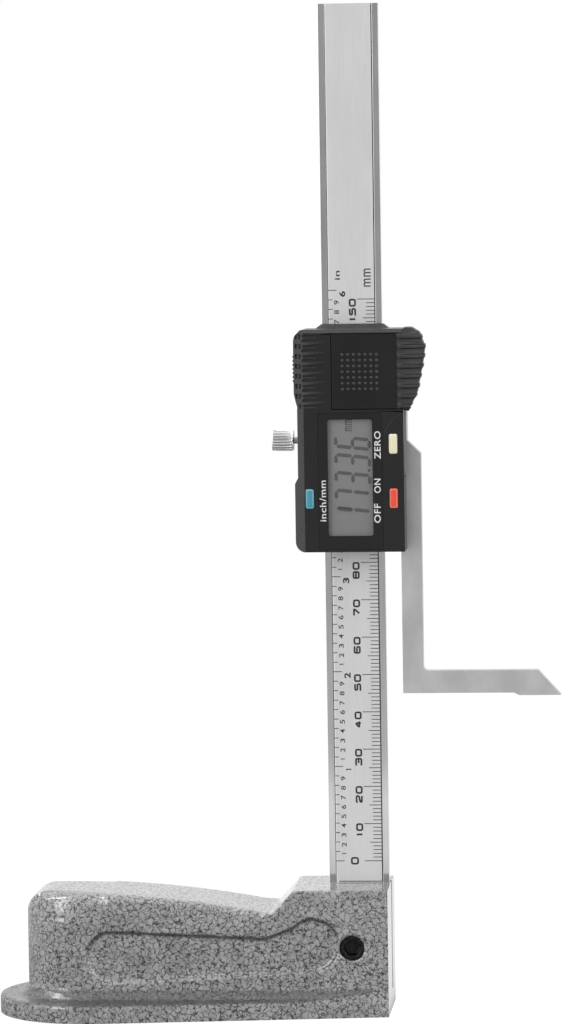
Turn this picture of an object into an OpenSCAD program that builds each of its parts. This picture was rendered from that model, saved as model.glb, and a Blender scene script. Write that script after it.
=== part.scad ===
// Digital height gauge, 150 mm: cast base, steel beam and electronic slider with a scriber arm.
// Millimetres. X runs to the right along the base, Y to the back and Z up.
// The origin is the middle of the foot's underside.

/* [Base casting] */
// Length of the foot
foot_length = 105.2; // [90:0.1:140]
// Radius of the foot's round left end
foot_round = 25; // [20:0.5:32]
// Thickness of the foot flange
foot_thick = 4.8; // [3:0.1:8]
// Width of the casting's body, front to back
body_width = 29; // [24:0.5:36]
// How far the body's left end stands in from the foot's left end
body_inset = 7.8; // [4:0.1:14]
// Radius of the body's left corners, seen from above
body_round = 13.5; // [6:0.5:14.5]
// Radius of the rounded end of the grip, seen from the front
grip_round = 7; // [3:0.5:10]
// Height of the grip's crown
grip_height = 33.2; // [28:0.1:40]
// Height of the dip beside the slope
valley_height = 27.4; // [22:0.1:32]
// Height of the beam block
block_height = 33.7; // [30:0.1:45]
// Length of the beam block's flat top
block_length = 25.1; // [20:0.1:34]
// Angle of the slope that leads up to the block
slope_angle = 47.5; // [35:0.5:65]
// Radius where the body meets the foot
foot_fillet = 2.4; // [1:0.1:4]
// Depth of the recess in the body's sides
recess_depth = 1.2; // [0.6:0.1:2]
// Radius of the recess at its left end
recess_round_left = 6.9; // [4:0.1:7.5]
// Radius of the recess at its right end
recess_round_right = 7; // [4:0.1:7.5]

/* [Beam] */
// Width of the beam
beam_width = 16; // [12:0.5:20]
// Thickness of the beam
beam_thick = 3.5; // [2.8:0.1:5]
// Height of the beam's top end above the table
beam_top = 267.5; // [240:0.5:320]
// How far the beam's front face lies behind the middle of the foot
beam_setback = 1.5; // [-3:0.1:4]
// Gap between the beam's edge and the casting's right end
beam_end_gap = 0.4; // [0.2:0.1:2]
// Height of the slot's floor, where the beam stands
slot_floor = 5; // [3:0.1:10]
// Clearance round the beam in its slot
slot_fit = 0.05; // [0.02:0.01:0.15]
// Width of the groove that holds the scale
groove_width = 12.6; // [9:0.1:13.5]
// Depth of the groove that holds the scale
groove_depth = 0.7; // [0.5:0.05:1]
// Thickness of the scale's circuit strip
strip_thick = 0.45; // [0.2:0.05:0.5]
// Thickness of the printed foil
foil_thick = 0.2; // [0.1:0.05:0.3]
// Clearance beside the scale in its groove
scale_fit = 0.15; // [0.05:0.01:0.3]

/* [Beam clamp] */
// Radius of the clamp screw
clamp_radius = 3.3; // [2:0.1:4]
// Distance of the clamp screw's axis from the casting's right end
clamp_inset = 9.6; // [7:0.1:12]
// Height of the clamp screw's axis
clamp_height = 18.3; // [12:0.1:24]
// Depth of the clamp screw's head below the casting's face
clamp_sink = 1.4; // [0.5:0.1:3]
// Thickness of the brass pad
clamp_pad_thick = 2; // [1:0.1:3]
// Hexagon socket of the clamp screw, across flats
clamp_socket = 4; // [2:0.1:5]
// Clearance of the clamp screw in its hole
thread_fit = 0.03; // [0.02:0.01:0.08]

/* [Slider] */
// Height of the measuring face above the table, as the slider is shown
face_height = 83.7; // [60:0.1:120]
// Height of the slider frame
frame_height = 57.6; // [50:0.1:70]
// Bottom of the slider frame above the measuring face
frame_bottom = 39.9; // [34:0.1:50]
// How far the frame reaches to the left of the beam
frame_left = 5.6; // [5:0.1:8]
// How far the frame reaches to the right of the beam
frame_right = 6.2; // [5:0.1:8]
// Thickness of the frame's back wall
frame_back = 2.2; // [1.6:0.1:4]
// How far the frame's rails stand in front of the beam
frame_proud = 0.2; // [0.1:0.05:0.5]
// Running clearance between the frame and the beam
slide_fit = 0.05; // [0.03:0.01:0.1]
// Thickness of the gib strip
gib_thick = 1; // [0.6:0.1:1.6]
// Clearance behind the gib strip
gib_fit = 0.05; // [0.02:0.01:0.1]
// Distance from the frame's ends to the gib's ends
gib_end_gap = 2.5; // [1:0.1:5]
// Radius of the gib screws
gib_screw_radius = 0.8; // [0.6:0.1:1.2]
// Distance of the gib screws above and below the middle of the frame
gib_screw_spread = 18; // [12:0.5:22]

/* [Scriber arm] */
// Thickness of the arm
arm_thick = 3.5; // [2.5:0.1:3.7]
// Width of the upright leg
leg_width = 5.55; // [4:0.05:8]
// Distance of the upright leg's left edge from the beam's edge
leg_offset = 4.3; // [3.5:0.1:6]
// Height of the corner where the leg leaves the frame, above the measuring face
leg_top = 68.3; // [55:0.1:80]
// Thickness of the lower leg
foot_leg_thick = 6; // [4:0.1:9]
// How far the measuring face stands below the lower leg
face_step = 0.7; // [0.3:0.1:1.5]
// Length of the measuring face
face_length = 11.2; // [6:0.1:16]
// Reach of the tip from the beam's middle
tip_reach = 54.4; // [40:0.1:80]
// Length of the slanted end
tip_slope = 6.1; // [4:0.1:9]
// Radius in the corner between the legs
arm_fillet = 1.2; // [0.5:0.1:3]

/* [Lock screw] */
// Height of the lock screw above the measuring face
lock_height = 68.3; // [60:0.1:80]
// Radius of the lock screw's head
lock_head_radius = 2.8; // [2:0.1:4]
// Length of the lock screw's head
lock_head_length = 5.7; // [3:0.1:8]
// Bare neck between the head and the frame
lock_neck = 2.4; // [1.5:0.1:5]
// Radius of the lock screw's shank
lock_radius = 0.9; // [0.7:0.05:1.4]
// Clearance round the shank
lock_fit = 0.05; // [0.02:0.01:0.1]
// Length of the brass pad at the screw's tip
lock_pad_length = 1.1; // [0.6:0.1:2]
// Gap between the brass pad and the beam
lock_gap = 0.08; // [0.03:0.01:0.2]
// Number of grooves round the lock screw's head
lock_knurls = 21; // [12:1:24]

/* [Display housing] */
// Height of the housing
housing_height = 58.9; // [54:0.1:70]
// How far the housing reaches below the frame
housing_skirt = 0.6; // [0.2:0.1:2]
// Depth of the housing, from its face to the frame's front
housing_depth = 9.3; // [8.5:0.1:12]
// How far the housing reaches to the left of the beam at its grips
housing_left = 7.2; // [6.6:0.1:9]
// How far the housing reaches to the right of the beam
housing_right = 5.9; // [5.2:0.1:6.1]
// How far the waist lies inside the grips on the left
waist_left = 0.9; // [0.3:0.1:1.2]
// How far the waist's side wall lies inside the face on the right
waist_right = 0.9; // [0.3:0.1:1]
// Thickness of the housing's walls
wall = 1.2; // [0.8:0.05:1.6]
// Width of the slanted left edge of the face
bevel_width = 2.7; // [1.5:0.1:3.2]
// Depth of the slanted left edge
bevel_depth = 2.5; // [1:0.1:4]
// Slant at the front of the roof
roof_bevel = 1; // [0.3:0.1:1.5]
// Radius of the lower left corner
corner_round = 2.6; // [1:0.1:4]
// Height of the lip round the beam on the roof
roof_lip = 1.1; // [0.4:0.1:2]
// Number of notches in the grip on the left edge
grip_notches = 8; // [4:1:10]
// Distance from notch to notch
notch_pitch = 2.63; // [2:0.01:3]
// Depth of the notches
notch_depth = 0.5; // [0.2:0.05:0.8]
// Radius of the screw bosses
boss_radius = 1.6; // [1.3:0.1:1.8]
// Radius of the housing screws
housing_screw_radius = 0.78; // [0.5:0.01:0.9]

/* [Window and label] */
// Width of the window
window_width = 11.8; // [8:0.1:13]
// Height of the window
window_height = 30.8; // [24:0.1:32]
// Distance of the window's middle from the beam's middle, to the left
window_shift = 0.3; // [0:0.05:0.6]
// Height of the window's middle above the housing's bottom
window_rise = 19.7; // [18:0.1:20.2]
// Radius of the window's corners
window_round = 0.7; // [0.3:0.1:2]
// Width of the label
label_width = 17.1; // [15:0.1:18]
// Height of the label
label_height = 36.2; // [35:0.1:37]
// Thickness of the label
label_thick = 0.15; // [0.1:0.01:0.25]
// Thickness of the window lens
lens_thick = 0.8; // [0.5:0.05:0.9]
// Rim of the lens that lies under the label
lens_rim = 1.3; // [0.8:0.1:1.4]
// Small clearance round the lens, the label and the cover
skin_fit = 0.05; // [0.03:0.01:0.12]

/* [Display and board] */
// Thickness of the display glass
glass_thick = 1.6; // [1:0.1:2.2]
// Width of the display glass beyond the window, on each side
glass_margin = 1.4; // [1:0.1:1.5]
// Height of the display glass beyond the window, at each end
glass_margin_ends = 0.75; // [0.5:0.05:0.75]
// Wall of the display holder
holder_wall = 0.7; // [0.5:0.05:0.8]
// Width of the ledge that carries the glass
ledge = 0.8; // [0.4:0.1:1]
// Width of the rubber connector strip
zebra_width = 1.8; // [1:0.1:2.5]
// Thickness of the circuit board
board_thick = 0.8; // [0.6:0.1:1.2]
// Gap between the board's edge and the housing's walls
board_gap = 0.3; // [0.1:0.05:0.6]
// Side of the chip's resin cap
chip_size = 7; // [4:0.5:9]
// Height of the chip's resin cap
chip_thick = 1.1; // [0.6:0.1:1.6]

/* [Buttons] */
// Width of a button
button_width = 2.2; // [1.6:0.05:2.3]
// Height of a button
button_height = 5.2; // [3.5:0.1:6]
// How far a button stands out of the face
button_proud = 0.35; // [0.1:0.05:0.5]
// How far a button is pushed in
button_travel = 0.5; // [0.3:0.05:0.7]
// Distance of the buttons' middle from the beam's middle
button_offset = 11.1; // [10.9:0.05:11.2]
// Height of the lower buttons above the housing's bottom
button_low = 14.2; // [12:0.1:18]
// Height of the upper button above the housing's bottom
button_high = 28.6; // [24:0.1:31]
// Clearance round a button
button_fit = 0.08; // [0.05:0.01:0.12]
// Thickness of the keypad's rubber
keypad_thick = 0.6; // [0.4:0.05:0.8]
// Height of a keypad dome
dome_height = 1.5; // [1:0.1:2]

/* [Battery] */
// Radius of the coin cell
cell_radius = 5.8; // [4.5:0.1:5.8]
// Thickness of the coin cell
cell_thick = 5.4; // [3.6:0.1:5.4]
// Width of the battery cover's plate, left of the housing's right edge
cover_width = 18.9; // [17.5:0.1:20]
// Height of the battery cover
cover_height = 20; // [18.5:0.1:20]
// Thickness of the battery cover's plate
cover_thick = 1.15; // [1:0.05:1.4]
// Depth of the cover's guide tongues
tongue = 0.5; // [0.3:0.05:0.6]
// Thickness of the cover's guide tongues
tongue_thick = 0.55; // [0.4:0.05:0.7]
// How far the cover's thumb grip stands out to the right of the housing
thumb_reach = 5.7; // [3:0.1:8]
// Depth of the thumb grip, front to back
thumb_depth = 6; // [4:0.1:8]
// Distance from rib to rib on the thumb grip
rib_pitch = 2.62; // [2:0.01:3]
// Height of the ribs
rib_height = 0.3; // [0.1:0.05:0.5]

/* [Hidden] */
$fn = 64;
// Overshoot of the cutting shapes
cut = 1;
// Overlap of two shapes that are joined
lap = 0.01;

// Base casting
foot_right = foot_length / 2;
foot_left = -foot_length / 2;
foot_centre = foot_left + foot_round;
body_left = foot_left + body_inset;
body_half = body_width / 2;
block_left = foot_right - block_length;
slope_run = (block_height - valley_height) / tan(slope_angle);
valley_x = block_left - slope_run;
// The crown's top is a long arc from the end of the grip to the valley
crown_left = body_left + grip_round;
crown_run = valley_x - crown_left;
crown_drop = grip_height - valley_height;
crown_radius = (crown_run * crown_run + crown_drop * crown_drop) / (2 * crown_drop);
// The grip's round end goes on from the crown's arc, this far round from level
grip_first_angle = 96;
// Height of the band below the fillet at the body's foot
fillet_band = 0.5;
// Middles of the recess's round ends, from the body's left end and the casting's right end
recess_in_left = 23.8;
recess_in_right = 20;
recess_left_x = body_left + recess_in_left;
recess_right_x = foot_right - recess_in_right;
recess_left_z = 16;
recess_right_z = 19.2;
// The recess's upper edge dips before it rises round its right end
recess_dip_run = 12.6;
recess_dip_rise = 1.8;
recess_dip_x = recess_right_x - recess_dip_run;
recess_dip_z = recess_right_z + recess_dip_rise;
// Where the rise meets the right end's circle, in parts of its radius
recess_meet = [0.75, 0.66];

// Beam
beam_right = foot_right - beam_end_gap;
beam_x = beam_right - beam_width / 2;
beam_half = beam_width / 2;
beam_bottom = slot_floor;
beam_y = beam_setback;
groove_floor = beam_y + groove_depth;
scale_width = groove_width - 2 * scale_fit;
scale_end_gap = 0.5;

// Beam clamp
clamp_x = foot_right - clamp_inset;
clamp_front = -body_half + clamp_sink;
clamp_back = beam_y - clamp_pad_thick;
clamp_socket_depth = 3;
clamp_bore = clamp_radius + thread_fit;

// Slider. Its pieces are placed from the beam's middle, the beam's front and the measuring face.
frame_x0 = -beam_half - frame_left;
frame_x1 = beam_half + frame_right;
frame_front = -frame_proud;
frame_top = frame_bottom + frame_height;
frame_mid = frame_bottom + frame_height / 2;
channel_back = beam_thick + slide_fit;
frame_rear = channel_back + frame_back;
gib_right = -beam_half - slide_fit;
gib_left = gib_right - gib_thick;
rail_inner = gib_left - gib_fit;
axis_y = beam_thick / 2;
screw_sink = 0.9;
screw_clear = 0.15;
// Gib strip: what it leaves free in front and behind, and round the lock screw
gib_margin = 0.2;
// Gib screws: how deep they are set in, and their slots
gib_screw_sink = 0.2;
gib_slot_depth = 0.5;
gib_slot_half = 0.15;

// Scriber arm
leg_left = beam_half + leg_offset;
leg_right = leg_left + leg_width;
arm_bottom = face_step;
arm_top = face_step + foot_leg_thick;
// How far the arm runs into the frame
arm_root = 2;

// Lock screw
lock_tip = -beam_half - lock_gap - lock_pad_length;
lock_head_right = frame_x0 - lock_neck;
lock_head_left = lock_head_right - lock_head_length;
lock_slot_width = 0.8;
lock_slot_depth = 1;
// Knurling: grooves that lie a little outside the head's edge and stop short of its ends
knurl_radius = 0.3;
knurl_out = 0.1;
knurl_end = 0.4;

// Housing
house_bottom = frame_bottom - housing_skirt;
house_top = house_bottom + housing_height;
house_back = frame_front;
house_face = house_back - housing_depth;
house_left = -beam_half - housing_left;
house_waist = house_left + waist_left;
house_right = beam_half + housing_right;
face_left = house_left + bevel_width;
inner_front = house_face + wall;
// How far the hollow reaches behind the slanted left edge
inner_lap = 0.2;
side_wall = 0.8;
inner_left = face_left - inner_lap;
inner_right = house_right - waist_right - side_wall;
inner_bottom = house_bottom + wall;
// The bosses run into the side walls by this much
boss_sink = 0.4;
inner_top = house_top - wall;
waist_rise = 18;
waist_low = house_bottom + waist_rise;
waist_step = 1.6;
// Slope from the waist up to the upper grip, and the slant of the top left corner
grip_slope = 3.6;
grip_corner = 2.1;
// Depth of the edge that stays in front of the waist on the right
waist_front = 1.5;
notch_length = 2.2;
notch_width = 1.2;
// First notch below the top
notch_first = 1.85;
// Grooves on the face: where they start left of its edge, where they stop, depth and half width
groove_out = 0.6;
groove_in = 3.4;
groove_cut = 0.2;
groove_half = 0.35;
// Lip on the roof: its depth, how far it stands beside the beam, and the slope of its right end
lip_depth = 3.8;
lip_left = 1.5;
lip_right = 2;
lip_slope = 0.5;
boss_x_left = inner_left + boss_radius - boss_sink;
boss_x_right = inner_right - boss_radius + boss_sink;
boss_rise = 4;
boss_drop = 4.4;
boss_root = 0.5;
boss_z_low = house_bottom + boss_rise;
boss_z_high = house_top - boss_drop;
// Pilot holes of the housing screws
pilot_depth = 5;
pilot_fit = 0.02;
boss_places = [[boss_x_left, boss_z_low], [boss_x_right, boss_z_low],
               [boss_x_left, boss_z_high], [boss_x_right, boss_z_high]];

// Battery cover
cover_left = house_right - cover_width;
cover_drop = 0.15;
cover_top = house_top - roof_bevel - cover_drop;
cover_bottom = cover_top - cover_height;
cover_face = house_face - skin_fit;
cover_back = cover_face + cover_thick;
tongue_back = cover_back + tongue_thick;
deck_front = tongue_back + skin_fit;
deck_thick = 1;
deck_back = deck_front + deck_thick;
// Wall between the battery's room and the display's: how far it goes up behind the cover
divider_lap = 0.3;
divider_thick = 1.3;
divider_top = cover_bottom - skin_fit + divider_lap;
divider_bottom = divider_top - divider_thick;
waist_lap = 0.5;
waist_high = cover_bottom + waist_lap;
thumb_gap = 0.3;
thumb_left = house_right + thumb_gap;
thumb_right = house_right + thumb_reach;
thumb_back = cover_face + thumb_depth;
// The cover's front slants back from here to the thumb grip's tip
thumb_slope_start = 1.6;
thumb_slope_left = house_right - thumb_slope_start;
thumb_slope_depth = 2.6;
// Outline of the thumb grip: parts of its reach, with millimetres above the cover's bottom,
// and then with millimetres above its top
thumb_low = [[0.2, 0], [0.4, 1.4], [0.65, 4.5], [0.8, 9], [0.9, 11.6], [1, 15.6], [0.97, 17]];
thumb_high = [[0.77, -0.45], [0.4, 0.85]];
thumb_foot = 0.4;
thumb_roof = 0.85;
// Ribs: how many, the first one's top below the cover's top, and their width
rib_count = 8;
rib_first = 0.4;
rib_width = 1.1;
rib_root = 0.1;
cover_margin = 2;

// Window, label and display
window_x = -window_shift;
window_z = house_bottom + window_rise;
label_shift = 0.05;
label_rise = 0.6;
label_x = window_x + label_shift;
label_z = house_bottom + label_rise + label_height / 2;
label_back = house_face + label_thick;
lens_back = label_back + lens_thick;
// The opening in the shell is wider than the window on every side
window_step = 0.5;
pocket_gap = 0.02;
glass_gap = 0.1;
glass_front = inner_front + glass_gap;
glass_back = glass_front + glass_thick;
glass_width = window_width + 2 * glass_margin;
glass_height = window_height + 2 * glass_margin_ends;
board_front = house_back - board_thick;
holder_gap = 0.05;
holder_width = glass_width + 2 * holder_gap + 2 * holder_wall;
holder_height = glass_height + 2 * holder_gap + 2 * holder_wall;
holder_open_width = glass_width - 2 * ledge;
holder_open_height = glass_height - 2 * ledge;
zebra_x = window_x - holder_open_width / 2 + holder_gap;
zebra_end_gap = 0.5;
chip_shift = 2;
chip_x = window_x + chip_shift;
// What the shell's ribs leave free in front of the board
board_room = 0.1;
board_left = inner_left + board_gap;
board_right = inner_right - board_gap;
board_bottom = inner_bottom + board_gap;
board_top = inner_top - board_gap;

// Buttons
button_z_low = house_bottom + button_low;
button_z_high = house_bottom + button_high;
button_x_left = -button_offset;
button_x_right = button_offset;
flange_front = inner_front + skin_fit;
flange_thick = 0.5;
flange_back = flange_front + flange_thick;
flange_extra = 0.7;
button_corner = 0.45;
stem_width = 1.6;
stem_height = 3.2;
keypad_front = board_front - keypad_thick;
dome_front = keypad_front - dome_height;
stem_back = dome_front - button_travel - skin_fit;
keypad_gap = 0.25;
keypad_inner = holder_width / 2 + keypad_gap;
keypad_margin = 4.2;
keypad_edge = 0.1;
dome_radius = 0.8;

// Battery
cell_inset = 10.6;
cell_gap = 0.1;
cell_x = house_right - cell_inset;
cell_z = (cover_bottom + cover_top) / 2;
cell_front = deck_front + cell_gap;
cell_back = cell_front + cell_thick;
cell_fit = 0.2;
// The cell's narrow end: its height, and how much smaller its radius is
cell_step = 0.4;
cell_shoulder = 1.2;
well_wall = 0.9;
// Notch in the well's wall for the contact: how far out and in it goes, and half its height
notch_out = 2;
notch_in = 1.5;
notch_half = 2.8;
contact_thick = 0.25;
contact_half = 2;
// Tongues of the contacts: the foot on the board, and the one that touches the cell
contact_foot = 4;
contact_tongue = 3;
contact_rise = 0.3;

// Housing screws
head_radius = 2 * housing_screw_radius;
head_gap = 0.1;
screw_reach = 4.6;
cross_depth = 0.4;
cross_reach = 1;
cross_half = 0.15;

module along_y(y0, y1) {
    translate([0, y1, 0]) rotate([90, 0, 0]) linear_extrude(y1 - y0) children();
}

module along_x(x0, x1) {
    translate([x0, 0, 0]) rotate([90, 0, 90]) linear_extrude(x1 - x0) children();
}

module rod_x(x0, x1, r) {
    translate([x0, 0, 0]) rotate([0, 90, 0]) cylinder(h = x1 - x0, r = r);
}

module rod_y(y0, y1, r) {
    translate([0, y1, 0]) rotate([90, 0, 0]) cylinder(h = y1 - y0, r = r);
}

module block(x0, x1, y0, y1, z0, z1) {
    translate([x0, y0, z0]) cube([x1 - x0, y1 - y0, z1 - z0]);
}

// Rectangle with round corners, centred
module round_rect(w, h, r) {
    square([w - 2 * r, h], center = true);
    square([w, h - 2 * r], center = true);
    for (sx = [-1, 1], sz = [-1, 1])
        translate([sx * (w / 2 - r), sz * (h / 2 - r)]) circle(r = r);
}

function arc(cx, cz, r, a0, a1, n) =
    [for (i = [0:n]) let (a = a0 + (a1 - a0) * i / n) [cx + r * cos(a), cz + r * sin(a)]];

// Base casting, seen from above
module foot_plan() {
    reach = foot_right - foot_centre;
    span = sqrt(reach * reach + body_half * body_half);
    touch = acos(foot_round / span) + atan2(body_half, reach);
    tx = foot_centre + foot_round * cos(touch);
    ty = foot_round * sin(touch);
    translate([foot_centre, 0]) circle(r = foot_round, $fn = 96);
    polygon([[foot_right, -body_half], [foot_right, body_half], [tx, ty],
             [foot_centre, 0], [tx, -ty]]);
}

module body_plan(grow = 0) {
    r = body_round + grow;
    left = body_left - grow;
    half = body_half + grow;
    translate([left + r, -half]) square([foot_right - left - r, 2 * half]);
    translate([left, -half + r]) square([foot_right - left, 2 * (half - r)]);
    for (s = [-1, 1])
        translate([left + r, s * (half - r)]) circle(r = r);
}

// Base casting, seen from the front
module body_profile() {
    crown_sweep = asin(crown_run / crown_radius);
    polygon(concat(
        [[foot_right, 0], [foot_right, block_height], [block_left, block_height]],
        [[valley_x, valley_height]],
        arc(crown_left, grip_height - crown_radius, crown_radius, 90 - crown_sweep, 90, 16),
        arc(crown_left, grip_height - grip_round, grip_round, grip_first_angle, 180, 10),
        [[body_left, 0]]
    ));
}

module recess_outline() {
    translate([recess_left_x, recess_left_z]) circle(r = recess_round_left);
    translate([recess_right_x, recess_right_z]) circle(r = recess_round_right);
    polygon([
        [recess_left_x, recess_left_z - recess_round_left],
        [recess_right_x, recess_right_z - recess_round_right],
        [recess_right_x, recess_right_z],
        [recess_right_x - recess_meet[0] * recess_round_right,
         recess_right_z + recess_meet[1] * recess_round_right],
        [recess_dip_x, recess_dip_z],
        [recess_left_x, recess_left_z + recess_round_left]
    ]);
}

module base_casting() {
    color("dimgray") difference() {
        union() {
            linear_extrude(foot_thick) foot_plan();
            intersection() {
                along_y(-body_half, body_half) body_profile();
                linear_extrude(block_height + cut) body_plan();
            }
            intersection() {
                hull() {
                    translate([0, 0, foot_thick - fillet_band]) linear_extrude(fillet_band)
                        body_plan(foot_fillet, $fn = 32);
                    linear_extrude(foot_thick + foot_fillet) body_plan($fn = 32);
                }
                linear_extrude(foot_thick + foot_fillet + cut) foot_plan();
            }
        }
        for (side = [-1, 1])
            along_y(side * body_half - recess_depth, side * body_half + recess_depth) recess_outline();
        block(beam_x - beam_half - slot_fit, foot_right + cut,
              beam_y - slot_fit, beam_y + beam_thick + slot_fit, slot_floor, block_height + cut);
        translate([clamp_x, 0, clamp_height]) rod_y(-body_half - cut, beam_y, clamp_bore);
    }
}

module beam() {
    color("silver") difference() {
        block(beam_x - beam_half, beam_x + beam_half, beam_y, beam_y + beam_thick, beam_bottom, beam_top);
        block(beam_x - groove_width / 2, beam_x + groove_width / 2,
              beam_y - cut, groove_floor, beam_bottom - cut, beam_top + cut);
    }
}

module scale_layer(back, thick) {
    block(beam_x - scale_width / 2, beam_x + scale_width / 2,
          back - thick, back, beam_bottom + scale_end_gap, beam_top - scale_end_gap);
}

module scale_board() {
    color("darkgreen") scale_layer(groove_floor, strip_thick);
}

module scale_foil() {
    color("gainsboro") scale_layer(groove_floor - strip_thick, foil_thick);
}

module beam_set_screw() {
    color([0.1, 0.1, 0.1]) translate([clamp_x, 0, clamp_height]) difference() {
        rod_y(clamp_front, clamp_back, clamp_radius);
        along_y(clamp_front - cut, clamp_front + clamp_socket_depth)
            circle(d = clamp_socket / cos(30), $fn = 6);
    }
}

module beam_clamp_pad() {
    color("goldenrod") translate([clamp_x, 0, clamp_height])
        rod_y(clamp_back, beam_y, clamp_radius - thread_fit);
}

module at_slider() {
    translate([beam_x, beam_y, face_height]) children();
}

// The scriber arm, seen from the front
module arm_outline() {
    arm_back = frame_x1 - arm_root;
    corner = [leg_right + arm_fillet, arm_top + arm_fillet];
    polygon(concat(
        [[arm_back, leg_top], [frame_x1, leg_top]],
        [[leg_right, leg_top - (leg_right - frame_x1)]],
        arc(corner[0], corner[1], arm_fillet, 180, 270, 6),
        [[tip_reach - tip_slope, arm_top], [tip_reach, 0]],
        [[tip_reach - face_length, 0], [tip_reach - face_length - 2 * face_step, arm_bottom]],
        [[leg_left, arm_bottom], [leg_left, frame_bottom], [arm_back, frame_bottom]]
    ));
}

module slider_frame() {
    color("lightgray") at_slider() difference() {
        union() {
            block(frame_x0, frame_x1, frame_front, frame_rear, frame_bottom, frame_top);
            along_y(frame_front, frame_front + arm_thick) arm_outline();
        }
        block(rail_inner, beam_half + slide_fit, frame_front - cut, channel_back,
              frame_bottom - cut, frame_top + cut);
        for (s = [-1, 1])
            translate([0, axis_y, frame_mid + s * gib_screw_spread])
                rod_x(frame_x0 - cut, rail_inner + cut, gib_screw_radius + thread_fit);
        translate([0, axis_y, lock_height])
            rod_x(frame_x0 - cut, rail_inner + cut, lock_radius + lock_fit);
        for (p = boss_places) translate([p[0], 0, p[1]]) {
            rod_y(frame_front - cut, frame_rear + cut, housing_screw_radius + screw_clear);
            rod_y(frame_rear - screw_sink, frame_rear + cut, head_radius + screw_clear);
        }
    }
}

module gib_strip() {
    color("goldenrod") at_slider() difference() {
        block(gib_left, gib_right, frame_front + gib_margin, channel_back - gib_margin,
              frame_bottom + gib_end_gap, frame_top - gib_end_gap);
        translate([0, axis_y, lock_height])
            rod_x(gib_left - cut, gib_right + cut, lock_radius + gib_margin);
    }
}

module gib_screws() {
    color([0.2, 0.2, 0.2]) at_slider()
        for (s = [-1, 1]) translate([0, axis_y, frame_mid + s * gib_screw_spread]) difference() {
            rod_x(frame_x0 + gib_screw_sink, gib_left, gib_screw_radius);
            block(frame_x0 - cut, frame_x0 + gib_screw_sink + gib_slot_depth,
                  -gib_slot_half, gib_slot_half, -cut, cut);
        }
}

module lock_screw() {
    color("silver") at_slider() translate([0, axis_y, lock_height]) difference() {
        union() {
            rod_x(lock_head_left, lock_head_right, lock_head_radius);
            rod_x(lock_head_right - cut, lock_tip, lock_radius);
        }
        for (i = [0:lock_knurls - 1])
            rotate([i * 360 / lock_knurls, 0, 0]) translate([0, lock_head_radius + knurl_out, 0])
                rod_x(lock_head_left + knurl_end, lock_head_right - knurl_end, knurl_radius, $fn = 16);
        block(lock_head_left - cut, lock_head_left + lock_slot_depth,
              -lock_slot_width / 2, lock_slot_width / 2, -lock_head_radius - cut, lock_head_radius + cut);
    }
}

module lock_pad() {
    color("goldenrod") at_slider() translate([0, axis_y, lock_height])
        rod_x(lock_tip, lock_tip + lock_pad_length, lock_radius);
}

// The housing, seen from the front
module housing_outline() {
    r = corner_round;
    polygon(concat(
        arc(house_left + r, house_bottom + r, r, 180, 270, 8),
        [[house_right, house_bottom], [house_right, house_top], [house_left + grip_corner, house_top]],
        [[house_left, house_top - grip_corner], [house_left, waist_high + grip_slope]],
        [[house_waist, waist_high]],
        [[house_waist, waist_low + waist_step], [house_left, waist_low]]
    ));
}

// Notches across the slanted left edge, and the grooves that run on from them over the face
module grip_cuts() {
    slant = atan2(bevel_depth, bevel_width);
    middle = [(face_left + house_left) / 2, house_face + bevel_depth / 2];
    for (i = [0:grip_notches - 1]) translate([0, 0, house_top - notch_first - i * notch_pitch]) {
        translate([middle[0], middle[1], 0]) rotate([0, 0, -slant])
            cube([notch_length, 2 * notch_depth, notch_width], center = true);
        block(face_left - groove_out, face_left + groove_in, house_face - cut, house_face + groove_cut,
              -groove_half, groove_half);
    }
}

module housing_solid() {
    difference() {
        along_y(house_face, house_back) housing_outline();
        translate([0, 0, house_bottom - cut]) linear_extrude(housing_height + 2 * cut) polygon([
            [house_left - cut, house_face - cut], [face_left, house_face - cut], [face_left, house_face],
            [house_left, house_face + bevel_depth], [house_left - cut, house_face + bevel_depth]
        ]);
        along_x(house_left - cut, house_right + cut) polygon([
            [house_face - cut, house_top - roof_bevel], [house_face, house_top - roof_bevel],
            [house_face + roof_bevel, house_top], [house_face + roof_bevel, house_top + cut],
            [house_face - cut, house_top + cut]
        ]);
        grip_cuts();
        block(house_right - waist_right, house_right + cut, house_face + waist_front, house_back + cut,
              waist_low + waist_step, waist_high);
    }
    along_y(house_back - lip_depth, house_back) polygon([
        [-beam_half - lip_left, house_top - cut], [beam_half + lip_right, house_top - cut],
        [beam_half + lip_right, house_top], [beam_half + lip_slope, house_top + roof_lip],
        [-beam_half, house_top + roof_lip], [-beam_half - lip_left, house_top]
    ]);
}

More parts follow.
